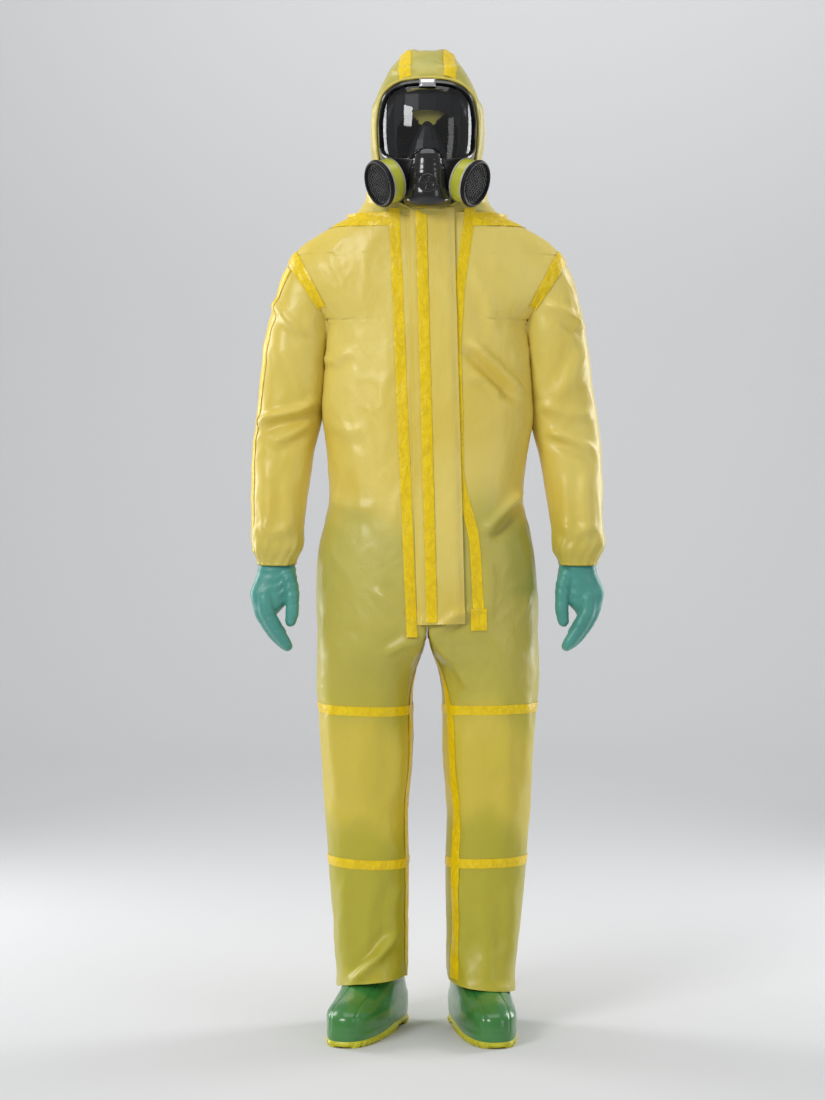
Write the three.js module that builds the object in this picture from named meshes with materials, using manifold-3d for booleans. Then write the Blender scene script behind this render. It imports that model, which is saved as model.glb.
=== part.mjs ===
// A taped chemical protective suit, standing in the shape it has when it is worn: a one-piece hooded
// coverall over knee-high boots and gauntlet gloves, with a full-face twin-filter mask in the hood.
// Units are millimetres, +Z is up and the suit faces -Y. "Left" and "right" are the wearer's, so left is +X.
// The origin is on the floor, under the middle of the bounding box.

import * as THREE from 'three';
import { mergeVertices } from 'three/addons/utils/BufferGeometryUtils.js';
import Module from 'manifold-3d';

const wasm = await Module();
wasm.setup();

// ---------------------------------------------------------------- driving dimensions

const FABRIC = 2;            // wall of a garment panel
const TAPE = 1;              // wall of a seam tape
const TAPE_WIDTH = 22;
const FIT = 0.4;             // air between two pieces that touch
const SIDE_SEAM_Y = 8;       // the side seams run down this plane

const NECK_Z = 1530;         // top edge of the body, where the hood is joined on
const CROTCH_Z = 746;
const KNEE_TOP_Z = 610;
const KNEE_BOTTOM_Z = 321;
const HEM_Z = 88;

const FRONT_BOTTOM = 136;    // depth of the body's front at the crotch
const FRONT_TOP = 93;        // and at the neck: the zip runs down this straight line
const FLAP_SLANT = 1.5;      // degrees: the zip and its flap lean to the wearer's right
const FLAP_BOTTOM_Z = CROTCH_Z + 27;
const FLAP_TOP_Z = NECK_Z - 8;
const FLAP_WIDTH = 78;
const FLAP_BASE_WIDTH = 7;
const FLAP_STAND = 7.6;      // from the body to the underside of the closed flap
const ZIP_X = 40;            // from the flap group's middle line
const CHAIN_WIDTH = 4.4;
const SLIDER_CLEARANCE = 0.4;

const ARMHOLE_DROP = 134;    // from the neck down to the middle of the armhole
const ARMHOLE = { x: 219, y: 4, z: NECK_Z - ARMHOLE_DROP, tilt: 62, half: 66, depth: 78 };
const SHOULDER_RUN = 80;     // soft part of the sleeve below the armhole
const UPPER_ARM = 246;       // armhole to elbow
const FOREARM = 270;         // elbow to cuff
const ELBOW = { x: 260, y: 18, z: ARMHOLE.z - UPPER_ARM };
const ELBOW_REACH = 64;      // soft part of the sleeve each side of the elbow
const CUFF_Z = ELBOW.z - FOREARM;

const GLOVE_WALL = 2.2;
const GAUNTLET_TOP = 105;    // above the cuff

const BOOT_WALL = 4;
const BOOT_TOP_Z = 314;
const SOLE_THICKNESS = 18;
const HEEL_THICKNESS = 26;
const TOE_OUT = 10;          // degrees
const BOOT_X = 97;

const MASK_Y = -45;          // the plane of the mask's widest section
const LENS_WALL = 2.4;
const RUBBER = 3.2;
const OPENING_MARGIN = 3;    // the hood's face opening stands this far off the mask
const CARTRIDGE_RADIUS = 42;
const CARTRIDGE_LENGTH = 24;
const GRILLE_LENGTH = 10;
const CONNECTOR_RADIUS = 19;
const CARTRIDGE_AXIS = new THREE.Vector3(0.80, -0.53, -0.28).normalize();
const CARTRIDGE_SEAT = new THREE.Vector3(64, -112, NECK_Z + 64);

// ---------------------------------------------------------------- solids

const YELLOW = cloth(0xe0cd6a);
const TAPE_YELLOW = new THREE.MeshStandardMaterial({ color: 0xe2c008, roughness: 0.3 });
const BLACK_RUBBER = new THREE.MeshStandardMaterial({ color: 0x1b1b1d, roughness: 0.5 });
const BLACK_PLASTIC = new THREE.MeshStandardMaterial({ color: 0x232326, roughness: 0.4 });
const GREEN_GLOVE = new THREE.MeshStandardMaterial({ color: 0x4e9790, roughness: 0.6 });
const GREEN_BOOT = new THREE.MeshStandardMaterial({ color: 0x3d8a48, roughness: 0.3 });
const SOLE_YELLOW = new THREE.MeshStandardMaterial({ color: 0xc9c23a, roughness: 0.5 });
const CLEAR = new THREE.MeshStandardMaterial({ color: 0xdfe6ea, roughness: 0.05, transparent: true, opacity: 0.3 });

function cloth(color) {
  return new THREE.MeshStandardMaterial({ color, roughness: 0.45 });
}

// A closed geometry as a solid that can be joined and cut.
function solid(geometry) {
  const bare = geometry.index ? geometry.toNonIndexed() : geometry.clone();
  bare.deleteAttribute('normal');
  bare.deleteAttribute('uv');
  const merged = mergeVertices(bare, 1e-3);
  return new wasm.Manifold(new wasm.Mesh({
    numProp: 3,
    vertProperties: new Float32Array(merged.attributes.position.array),
    triVerts: new Uint32Array(merged.index.array),
  }));
}

function geometryOf(piece) {
  const { vertProperties, triVerts } = piece.getMesh();
  const geometry = new THREE.BufferGeometry();
  geometry.setAttribute('position', new THREE.BufferAttribute(new Float32Array(vertProperties), 3));
  geometry.setIndex(new THREE.BufferAttribute(new Uint32Array(triVerts), 1));
  return geometry;
}

function block(low, high, turn = new THREE.Matrix4()) {
  const size = low.map((value, axis) => high[axis] - value);
  const box = new THREE.BoxGeometry(...size);
  box.translate(...low.map((value, axis) => value + size[axis] / 2));
  return solid(box.applyMatrix4(turn));
}

// Everything on one side of a plane through `point`, facing `normal`.
const FAR = 3000;
function halfSpace(point, normal) {
  const turn = new THREE.Matrix4().makeRotationFromQuaternion(
    new THREE.Quaternion().setFromUnitVectors(new THREE.Vector3(0, 0, 1), normal.clone().normalize()));
  return block([-FAR, -FAR, 0], [FAR, FAR, FAR], turn.setPosition(point));
}

// A solid from rings of points: one ring per row, all of one length, capped flat at both ends.
function skin(rowsOfPoints) {
  const rising = rowsOfPoints[0][0].z < rowsOfPoints[rowsOfPoints.length - 1][0].z;
  const rings = rising ? rowsOfPoints : [...rowsOfPoints].reverse();
  const around = rings[0].length;
  const positions = rings.flat().flatMap((p) => [p.x, p.y, p.z]);
  const index = [];
  for (let row = 0; row + 1 < rings.length; row++) {
    for (let i = 0; i < around; i++) {
      const next = (i + 1) % around;
      const a = row * around + i, b = row * around + next;
      const c = a + around, d = b + around;
      index.push(a, b, d, a, d, c);
    }
  }
  for (const [row, flip] of [[0, true], [rings.length - 1, false]]) {
    const middle = rings[row].reduce((sum, p) => sum.add(p), new THREE.Vector3()).divideScalar(around);
    const hub = positions.length / 3;
    positions.push(middle.x, middle.y, middle.z);
    for (let i = 0; i < around; i++) {
      const a = row * around + i, b = row * around + (i + 1) % around;
      index.push(hub, flip ? b : a, flip ? a : b);
    }
  }
  const geometry = new THREE.BufferGeometry();
  geometry.setAttribute('position', new THREE.Float32BufferAttribute(positions, 3));
  geometry.setIndex(index);
  return geometry;
}

// A smooth curve through values that are given at whole steps.
function through(values, at) {
  const i = Math.min(Math.floor(at), values.length - 2);
  const f = at - i;
  const [a, b, c, d] = [-1, 0, 1, 2].map((k) => values[Math.max(0, Math.min(values.length - 1, i + k))]);
  return b + 0.5 * f * (c - a + f * (2 * a - 5 * b + 4 * c - d + f * (3 * (b - c) + d - a)));
}

// A soft tube: oval sections strung along the body, an arm, a leg or the head. Each station holds the
// section's middle (x, y, z), half its width, its depth to the front and to the back, how square it is
// and how far it tilts, in degrees, from level towards the wearer's side.
const STATION = { x: 0, y: 0, z: 0, half: 0, front: 0, back: 0, square: 2.3, tilt: 0 };

class Tube {
  constructor(stations, around = 28) {
    this.stations = stations.map((station) => ({ ...STATION, ...station }));
    this.around = around;
  }

  value(key, at) {
    return through(this.stations.map((station) => station[key]), at);
  }

  // One section, grown outwards by `offset`.
  ring(at, offset) {
    const tilt = THREE.MathUtils.degToRad(this.value('tilt', at));
    const power = 2 / this.value('square', at);
    const grown = (key) => Math.max(0.5, this.value(key, at) + offset);
    const ring = [];
    for (let i = 0; i < this.around; i++) {
      const angle = (i / this.around) * 2 * Math.PI;
      const across = grown('half') * Math.sign(Math.cos(angle)) * Math.abs(Math.cos(angle)) ** power;
      const depth = (Math.sin(angle) > 0 ? grown('back') : grown('front')) *
        Math.sign(Math.sin(angle)) * Math.abs(Math.sin(angle)) ** power;
      ring.push(new THREE.Vector3(
        this.value('x', at) + across * Math.cos(tilt),
        this.value('y', at) + depth,
        this.value('z', at) + across * Math.sin(tilt)));
    }
    return ring;
  }

  // The tube as a filled solid, grown by `offset`, from one station to another. `steps` is per station.
  filled(offset, from = 0, to = this.stations.length - 1, steps = 1) {
    const count = Math.max(1, Math.round((to - from) * steps));
    const rings = [];
    for (let k = 0; k <= count; k++) rings.push(this.ring(from + ((to - from) * k) / count, offset));
    return solid(skin(rings));
  }

  // A wall between two offsets, open at both ends.
  wall(outer, inner, steps = 1) {
    return this.filled(outer, 0, undefined, steps).subtract(this.filledLonger(inner, steps));
  }

  // As filled, but run on past the ends, so that it cuts them open.
  filledLonger(offset, steps = 1, bothEnds = true) {
    const last = this.stations.length - 1;
    const count = Math.round(last * steps);
    const rings = [];
    for (let k = 0; k <= count; k++) rings.push(this.ring((last * k) / count, offset));
    const past = (ring, inner) => {
      const middle = (r) => r.reduce((sum, p) => sum.add(p), new THREE.Vector3()).divideScalar(r.length);
      const step = middle(ring).sub(middle(inner)).setLength(END_CUT);
      return ring.map((p) => p.clone().add(step));
    };
    const end = bothEnds ? [past(rings[count], rings[count - 1])] : [];
    return solid(skin([past(rings[0], rings[1]), ...rings, ...end]));
  }
}
const END_CUT = 5;

// A closed outline in the XZ plane, run along Y from one depth to another.
function alongY(points, from, to) {
  const curve = new THREE.CatmullRomCurve3(points.map(([x, z]) => new THREE.Vector3(x, z, 0)), true);
  const outline = curve.getPoints(Math.round(points.length * 1.5)).slice(0, -1);
  const shape = new THREE.Shape(outline.map((p) => new THREE.Vector2(p.x, p.y)));
  const geometry = new THREE.ExtrudeGeometry(shape, { depth: to - from, bevelEnabled: false });
  return solid(geometry.rotateX(Math.PI / 2).translate(0, to, 0));
}

// Half of an outline, from top to bottom and with its heights above the neck, made whole by its mirror
// image and grown outwards.
function bothSides(half, grow = 0) {
  const middle = (half[0][1] + half[half.length - 1][1]) / 2;
  const grown = half.map(([x, z]) => [x + Math.sign(x) * grow, NECK_Z + z + Math.sign(z - middle) * grow]);
  return [...grown, ...grown.slice(1, -1).reverse().map(([x, z]) => [-x, z])];
}

// A round bar along Z, turned to an axis and placed.
function turned(profile, axis, place, segments = 16) {
  const lathe = new THREE.LatheGeometry(profile.map(([r, z]) => new THREE.Vector2(r, z)), segments);
  lathe.rotateX(Math.PI / 2);
  const turn = new THREE.Matrix4().makeRotationFromQuaternion(
    new THREE.Quaternion().setFromUnitVectors(new THREE.Vector3(0, 0, 1), axis));
  return solid(lathe.applyMatrix4(turn.setPosition(place)));
}

const suit = new THREE.Group();

function add(name, piece, material, parent = suit) {
  const mesh = new THREE.Mesh(piece.isBufferGeometry ? piece : geometryOf(piece), material);
  mesh.name = name;
  parent.add(mesh);
  return mesh;
}

// A piece of the wearer's left side and its mirror image on the right.
function addPair(name, piece, material) {
  add(name + '_left', piece, material);
  add(name + '_right', piece, material).scale.x = -1;
}

// ---------------------------------------------------------------- trunk: body and thighs in one

const frontAt = (z) => FRONT_BOTTOM + ((z - CROTCH_Z) / (NECK_Z - CROTCH_Z)) * (FRONT_TOP - FRONT_BOTTOM);
const bodyStation = (z, half, back, square = 2.4) => ({ z, half, front: frontAt(z), back, square });
const between = (low, high, share) => low + (high - low) * share;
const TORSO_TOP = NECK_Z - 230;   // the trunk is straight up to here, and shaped by the shoulders above
const torso = (share) => between(CROTCH_Z, TORSO_TOP, share);

const body = new Tube([
  bodyStation(CROTCH_Z, 207, 122, 2.6),
  bodyStation(torso(0.134), 208, 124, 2.5),
  bodyStation(torso(0.372), 198, 117),
  bodyStation(torso(0.614), 192, 112),
  bodyStation(torso(0.856), 186, 118),
  bodyStation(TORSO_TOP, 186, 122),
  bodyStation(NECK_Z - 190, 196, 120),
  bodyStation(NECK_Z - 138, 262, 112, 2.2),
  bodyStation(NECK_Z - 100, 276, 103, 2.1),
  bodyStation(NECK_Z - 74, 258, 96, 2.1),
  bodyStation(NECK_Z - 46, 204, 88),
  bodyStation(NECK_Z - 22, 150, 82),
  bodyStation(NECK_Z, 117, 79),
], 20);

const LEG = [
  { x: 104, z: CROTCH_Z + 30, half: 103, front: 133, back: 121, square: 2.9 },
  { x: 107.5, z: between(KNEE_TOP_Z, CROTCH_Z, 0.83), half: 101, front: 123, back: 115, square: 2.5 },
  { x: 117, z: between(KNEE_TOP_Z, CROTCH_Z, 0.37), half: 93, front: 106, back: 106 },
  { x: 118, z: KNEE_TOP_Z, half: 89, front: 100, back: 103 },
  { x: 115.5, z: between(KNEE_BOTTOM_Z, KNEE_TOP_Z, 0.664), half: 85, front: 95, back: 99 },
  { x: 116, z: between(KNEE_BOTTOM_Z, KNEE_TOP_Z, 0.332), half: 79, front: 90, back: 96 },
  { x: 111, z: KNEE_BOTTOM_Z, half: 76.5, front: 87, back: 94 },
  { x: 106.5, z: between(HEM_Z, KNEE_BOTTOM_Z, 0.43), half: 70, front: 90, back: 91 },
  { x: 103, z: HEM_Z + 24, half: 66, front: 110, back: 91 },
  { x: 103, z: HEM_Z, half: 65, front: 126, back: 92 },
];
const THIGH_END = 3, KNEE_END = 6;
const LEG_SIDES = 16;
const thigh = new Tube(LEG.slice(0, THIGH_END + 1), LEG_SIDES);
const knee = new Tube(LEG.slice(THIGH_END, KNEE_END + 1), LEG_SIDES);
const shin = new Tube(LEG.slice(KNEE_END), LEG_SIDES);

const mirrored = (piece) => {
  const copy = geometryOf(piece);
  copy.scale(-1, 1, 1);
  copy.setIndex(Array.from(copy.index.array).reverse());
  return solid(copy);
};
const bothLegs = (piece) => piece.add(mirrored(piece));

// The armhole lies in a plane that leans outwards: the body ends on one side of it, the sleeve on the other.
const armholeTilt = THREE.MathUtils.degToRad(ARMHOLE.tilt);
const armholeNormal = new THREE.Vector3(Math.sin(armholeTilt), 0, -Math.cos(armholeTilt));
const armholePoint = new THREE.Vector3(ARMHOLE.x, ARMHOLE.y, ARMHOLE.z);
const beyondArmhole = (gap) => halfSpace(armholePoint.clone().addScaledVector(armholeNormal, gap), armholeNormal);
const aboveArmpit = block([0, -FAR, ARMHOLE.z - ARMHOLE.half - 28], [FAR, FAR, FAR]);
const outsideArmhole = (gap) => beyondArmhole(gap).intersect(aboveArmpit);
const armCut = outsideArmhole(0).add(mirrored(outsideArmhole(0)));

const trunkBetween = (outer, inner) => body.filled(outer).add(bothLegs(thigh.filled(outer)))
  .subtract(body.filledLonger(inner).add(bothLegs(thigh.filledLonger(inner)))).subtract(armCut);
const trunk = trunkBetween(0, -FABRIC);
const trunkSkin = trunkBetween(FIT + TAPE, FIT);

// A slab that stands on a slanted line down the front, between two distances from that line.
function slab(line, from, to, low = 0, high = NECK_Z + 50) {
  const lean = new THREE.Matrix4().makeRotationY(Math.atan2(line.top - line.bottom, NECK_Z - CROTCH_Z));
  lean.setPosition(line.bottom, 0, CROTCH_Z);
  return block([from, -FAR, low - CROTCH_Z], [to, SIDE_SEAM_Y - FIT / 2, high - CROTCH_Z], lean);
}
const RIGHT_SEAM = { bottom: -28, top: -61 };
const LEFT_SEAM = { bottom: 97, top: 77 };
const ZIP_SEAM = { bottom: ZIP_X + 2, top: ZIP_X - 19 };
const PLACKET_BOTTOM_Z = FLAP_BOTTOM_Z - 8;
const ZIP_GAP = CHAIN_WIDTH / 2 + 1;

const rightOfSeam = slab(RIGHT_SEAM, -FAR, -FIT / 2).add(
  block([-FAR, -FAR, 0], [-FIT / 2, SIDE_SEAM_Y - FIT / 2, PLACKET_BOTTOM_Z - FIT]));
const leftOfSeam = slab(LEFT_SEAM, FIT / 2, FAR).add(
  block([FIT / 2, -FAR, 0], [FAR, SIDE_SEAM_Y - FIT / 2, PLACKET_BOTTOM_Z - FIT]));
const behind = block([-FAR, SIDE_SEAM_Y + FIT / 2, 0], [FAR, FAR, FAR]);

const placketHeight = block([-FAR, -FAR, PLACKET_BOTTOM_Z], [FAR, 0, NECK_Z + 1]);
const belowPlacket = block([FIT / 2, -FAR, 0], [LEFT_SEAM.bottom + 10, 0, PLACKET_BOTTOM_Z - FIT]);
const rightHalf = block([-FAR, -FAR, 0], [-FIT / 2, FAR, FAR]);

function buildTrunk() {
  add('front_panel_right', trunk.intersect(rightOfSeam).intersect(rightHalf), YELLOW);
  add('front_panel_left', trunk.intersect(leftOfSeam.add(belowPlacket)), YELLOW);
  add('back_panel', trunk.intersect(behind), YELLOW);
  const right = slab(RIGHT_SEAM, FIT / 2, 200).subtract(slab(ZIP_SEAM, -ZIP_GAP, 400, 0, FAR));
  const left = slab(ZIP_SEAM, ZIP_GAP, 200).subtract(slab(LEFT_SEAM, -FIT / 2, 400, 0, FAR));
  add('placket_right', trunk.intersect(right).intersect(placketHeight), YELLOW);
  add('placket_left', trunk.intersect(left).intersect(placketHeight), YELLOW);
}

const NECK_TAPE = 18;
function buildTrunkTapes() {
  const below = block([-FAR, -FAR, 0], [FAR, FAR, NECK_Z - NECK_TAPE - FIT]);
  const tape = (line, low) => trunkSkin.intersect(slab(line, -TAPE_WIDTH / 2, TAPE_WIDTH / 2, low)).intersect(below);
  add('front_seam_tape_right', tape(RIGHT_SEAM, CROTCH_Z - 4), TAPE_YELLOW);
  add('front_seam_tape_left', tape(LEFT_SEAM, CROTCH_Z + 36), TAPE_YELLOW);
  // The neck tape goes round from one side of the front opening to the other.
  const ring = trunkSkin.intersect(block([-FAR, -FAR, NECK_Z - NECK_TAPE], [FAR, FAR, FAR]));
  const frontOpening = block([RIGHT_SEAM.top - TAPE_WIDTH / 2, -FAR, 0], [LEFT_SEAM.top + TAPE_WIDTH / 2, 0, FAR]);
  add('neck_seam_tape', ring.subtract(frontOpening), TAPE_YELLOW);
}

// ---------------------------------------------------------------- trouser legs

function buildLegs() {
  const clear = block([-FAR, -FAR, HEM_Z], [FAR, FAR, KNEE_TOP_Z - FIT]);
  addPair('knee_panel', knee.wall(0, -FABRIC).intersect(
    block([-FAR, -FAR, KNEE_BOTTOM_Z + FIT], [FAR, FAR, KNEE_TOP_Z - FIT])), YELLOW);
  addPair('shin_panel', shin.wall(0, -FABRIC).intersect(clear), YELLOW);
  // The two cross tapes and the inseam tape meet, so they are one solid on each leg.
  const surface = new Tube(LEG, LEG_SIDES).wall(FIT + TAPE, FIT);
  const cross = (z) => block([0, -FAR, z - TAPE_WIDTH / 2], [FAR, SIDE_SEAM_Y, z + TAPE_WIDTH / 2]);
  const inseamX = LEG[KNEE_END].x - 20;
  const inseam = block([-FAR, -FAR, HEM_Z + 4], [inseamX, FAR, between(KNEE_TOP_Z, CROTCH_Z, 0.56)])
    .intersect(block([-FAR, -44, 0], [FAR, -44 + TAPE_WIDTH, FAR]));
  const piece = surface.intersect(cross(KNEE_TOP_Z).add(cross(KNEE_BOTTOM_Z)).add(inseam));
  addPair('leg_seam_tapes', piece, TAPE_YELLOW);
}

// ---------------------------------------------------------------- zip and storm flap

const front = new THREE.Group();
front.position.set(0, -frontAt(CROTCH_Z), CROTCH_Z);
front.rotation.set(
  -Math.atan2(FRONT_BOTTOM - FRONT_TOP, NECK_Z - CROTCH_Z), THREE.MathUtils.degToRad(-FLAP_SLANT), 0);

// Boxes in the front's own frame: x across, `out` away from the body, z up the zip.
function strip(name, [x0, x1], [out0, out1], [z0, z1], material) {
  const box = new THREE.BoxGeometry(x1 - x0, out1 - out0, z1 - z0);
  return add(name, box.translate((x0 + x1) / 2, -(out0 + out1) / 2, (z0 + z1) / 2), material, front);
}

function buildClosure() {
  const bottom = FLAP_BOTTOM_Z - CROTCH_Z, top = FLAP_TOP_Z - CROTCH_Z;
  const tapeReach = 15, tapeGap = CHAIN_WIDTH / 2 + 1.8;
  const tapeOut = [FIT, FIT + 1], chainOut = [FIT, 2.8];
  const zipTop = top - 14;
  strip('zip_tape_right', [ZIP_X - tapeGap - tapeReach, ZIP_X - tapeGap], tapeOut, [bottom + 4, zipTop], BLACK_PLASTIC);
  strip('zip_tape_left', [ZIP_X + tapeGap, ZIP_X + tapeGap + tapeReach], tapeOut, [bottom + 4, zipTop], BLACK_PLASTIC);
  strip('zip_chain', [ZIP_X - CHAIN_WIDTH / 2, ZIP_X + CHAIN_WIDTH / 2], chainOut, [bottom + 6, zipTop], BLACK_PLASTIC);

  // The slider straddles the chain: a front plate with a flange down each side.
  const inner = CHAIN_WIDTH / 2 + SLIDER_CLEARANCE, outer = inner + 1;
  const plateOut = chainOut[1] + SLIDER_CLEARANCE;
  const sliderTop = zipTop - 4, sliderHeight = 14;
  const low = [ZIP_X - outer, -plateOut - 1.2, sliderTop - sliderHeight];
  const high = [ZIP_X + outer, -FIT - 0.3, sliderTop];
  const slot = block([ZIP_X - inner, -plateOut, 0], [ZIP_X + inner, 0, FAR]);
  add('zip_slider', block(low, high).subtract(slot), BLACK_PLASTIC, front);
  strip('zip_pull', [ZIP_X - 3, ZIP_X + 3], [plateOut + 1.2 + FIT, plateOut + 2.4 + FIT],
    [sliderTop - 34, sliderTop - 4], BLACK_PLASTIC);

  // The flap hangs on its folded base, and swings clear over it.
  const hinge = { x: -9.5, out: FLAP_STAND + 1 };
  strip('flap_base', [hinge.x - FLAP_BASE_WIDTH, hinge.x + 0.5], [FIT, FLAP_STAND - 0.6], [bottom, top], YELLOW);
  const flapOut = [FLAP_STAND, FLAP_STAND + FABRIC];
  strip('storm_flap', [hinge.x + 1.3, hinge.x + 1.3 + FLAP_WIDTH], flapOut, [bottom, top], YELLOW);
  const tapeX = hinge.x + 3.5;
  strip('flap_tape', [tapeX, tapeX + TAPE_WIDTH], [flapOut[1] + FIT, flapOut[1] + FIT + TAPE], [bottom, top], TAPE_YELLOW);
  suit.add(front);
}

// ---------------------------------------------------------------- sleeves

const sleeve = new Tube([
  { ...ARMHOLE, front: ARMHOLE.depth, back: ARMHOLE.depth },
  { x: 233, y: 8, z: ARMHOLE.z - 44, half: 63, front: 74, back: 72, tilt: 42 },
  { x: 246, y: 12, z: ARMHOLE.z - 106, half: 61, front: 68, back: 66, tilt: 20 },
  { x: 252, y: 15, z: between(ELBOW.z, ARMHOLE.z, 0.285), half: 61, front: 64, back: 62, tilt: 9 },
  { x: ELBOW.x, y: ELBOW.y, z: ELBOW.z, half: 60.5, front: 62, back: 60, tilt: 6 },
  { x: 271, y: 12, z: between(CUFF_Z, ELBOW.z, 0.763), half: 57, front: 59, back: 58, tilt: 6 },
  { x: 280, y: 0, z: between(CUFF_Z, ELBOW.z, 0.444), half: 53, front: 54, back: 53, tilt: 4 },
  { x: 283.5, y: -9, z: between(CUFF_Z, ELBOW.z, 0.222), half: 49.5, front: 49, back: 49, tilt: 2 },
  { x: 284, y: -18, z: CUFF_Z, half: 45.5, front: 45, back: 45 },
], 14);
const betweenZ = (low, high) => block([-FAR, -FAR, low], [FAR, FAR, high]);

function buildSleeves() {
  const wall = sleeve.wall(0, -FABRIC);
  const upTheArm = new THREE.Vector3(-0.34, 0, 0.94);
  const shoulderEnd = (gap) => halfSpace(
    armholePoint.clone().add(new THREE.Vector3(24, 0, -SHOULDER_RUN - gap)), upTheArm);
  const arm = wall.intersect(beyondArmhole(FIT));
  addPair('sleeve_shoulder', arm.intersect(shoulderEnd(0)), YELLOW);
  addPair('sleeve_upper', arm.intersect(betweenZ(ELBOW.z + ELBOW_REACH, FAR)).subtract(shoulderEnd(FIT)), YELLOW);
  addPair('sleeve_elbow', wall.intersect(
    betweenZ(ELBOW.z - ELBOW_REACH + FIT, ELBOW.z + ELBOW_REACH - FIT)), YELLOW);
  addPair('sleeve_forearm', wall.intersect(betweenZ(CUFF_Z, ELBOW.z - ELBOW_REACH)), YELLOW);

  // The armhole tape lies on the body's side of the seam.
  const near = outsideArmhole(-TAPE_WIDTH).subtract(outsideArmhole(-FIT));
  const bodySkin = body.filled(FIT + TAPE).subtract(body.filled(FIT));
  add('armhole_tape_left', bodySkin.intersect(near), TAPE_YELLOW);
  add('armhole_tape_right', bodySkin.intersect(mirrored(near)), TAPE_YELLOW);

  // The cuff's elastic runs round inside the sleeve's end.
  const elastic = sleeve.wall(-FABRIC - FIT, -FABRIC - FIT - 1.2).intersect(betweenZ(CUFF_Z + 3, CUFF_Z + 15));
  addPair('cuff_elastic', elastic, cloth(0xd8d0b0));
}

// ---------------------------------------------------------------- gloves

const gauntlet = new Tube([
  { x: 279.5, y: -2, z: CUFF_Z + GAUNTLET_TOP, half: 36, front: 33, back: 33 },
  { x: 283.5, y: -14, z: CUFF_Z + 30, half: 37, front: 32, back: 32 },
  { x: 285, y: -20, z: CUFF_Z - 8, half: 39, front: 30, back: 30 },
], 10);
const palm = new Tube([
  { x: 285, y: -20, z: CUFF_Z - 6, half: 39, front: 30, back: 30 },
  { x: 287, y: -24, z: CUFF_Z - 30, half: 46, front: 29, back: 28, square: 2.5 },
  { x: 288, y: -28, z: CUFF_Z - 58, half: 45, front: 26, back: 26, square: 2.6 },
  { x: 289, y: -31, z: CUFF_Z - 90, half: 34, front: 24, back: 25, square: 2.6 },
], 10);
const fingers = new Tube([
  { x: 293, y: -30, z: CUFF_Z - 80, half: 30, front: 24, back: 34, square: 2.8, tilt: 12 },
  { x: 287, y: -33, z: CUFF_Z - 112, half: 24, front: 25, back: 36, square: 2.8, tilt: 24 },
  { x: 276, y: -38, z: CUFF_Z - 140, half: 18, front: 23, back: 33, square: 2.8, tilt: 36 },
  { x: 267, y: -41, z: CUFF_Z - 156, half: 12, front: 16, back: 25, tilt: 42 },
  { x: 263, y: -42, z: CUFF_Z - 163, half: 5, front: 7, back: 12, tilt: 42 },
], 10);
const thumb = new Tube([
  { x: 263, y: -40, z: CUFF_Z - 34, half: 22, front: 14, back: 16, tilt: 30 },
  { x: 250, y: -46, z: CUFF_Z - 60, half: 14, front: 13, back: 13, tilt: 12 },
  { x: 246, y: -48, z: CUFF_Z - 90, half: 12.5, front: 12, back: 12 },
  { x: 249, y: -49, z: CUFF_Z - 108, half: 10, front: 10, back: 10 },
  { x: 251, y: -49, z: CUFF_Z - 115, half: 4, front: 4, back: 4 },
], 8);

function buildGloves() {
  const limbs = [palm, fingers, thumb];
  const outer = limbs.reduce((sum, limb) => sum.add(limb.filled(0)), gauntlet.filled(0));
  const inner = limbs.reduce((sum, limb) => sum.add(limb.filled(-GLOVE_WALL)), gauntlet.filledLonger(-GLOVE_WALL));
  addPair('glove', outer.subtract(inner), GREEN_GLOVE);
}

// ---------------------------------------------------------------- boots

// Half the sole's width at a distance forward of the heel's back edge, as shares of length and width.
const FOOT = { heel: 86, toe: 216, half: 55 };
const bootStation = (z, front, back, half, square = 2.3) => ({ z, front, back, half, square });
const boot = new Tube([
  bootStation(SOLE_THICKNESS + FIT, 213, 84, 53),
  bootStation(40, 214, 85, 55),
  bootStation(56, 205, 84, 55),
  bootStation(69, 176, 82, 53.5),
  bootStation(85, 118, 79, 50),
  bootStation(102, 88, 76, 45),
  bootStation(125, 74, 74, 43),
  bootStation(240, 61, 74, 48),
  bootStation(BOOT_TOP_Z, 61, 76, 51),
], 16);

function buildBoots() {
  const place = new THREE.Matrix4().makeRotationZ(THREE.MathUtils.degToRad(TOE_OUT)).setPosition(BOOT_X, 0, 0);
  const floor = betweenZ(SOLE_THICKNESS + FIT + 5, FAR);
  const hollow = boot.filledLonger(-BOOT_WALL).intersect(floor);
  const upper = boot.filled(0).subtract(hollow);
  addPair('boot_upper', geometryOf(upper).applyMatrix4(place), GREEN_BOOT);

  // The sole: a welted slab whose waist is hollowed between the heel block and the forefoot.
  const welt = new Tube([
    bootStation(0, FOOT.toe - 3, FOOT.heel - 2, FOOT.half - 1),
    bootStation(SOLE_THICKNESS / 2, FOOT.toe, FOOT.heel, FOOT.half + 1),
    bootStation(SOLE_THICKNESS, FOOT.toe - 1, FOOT.heel, FOOT.half),
  ], 24).filled(0);
  const waist = block([-FAR, -30, -1], [FAR, 22, HEEL_THICKNESS - SOLE_THICKNESS]);
  addPair('boot_sole', geometryOf(welt.subtract(waist)).applyMatrix4(place), SOLE_YELLOW);
}

// ---------------------------------------------------------------- hood

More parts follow.
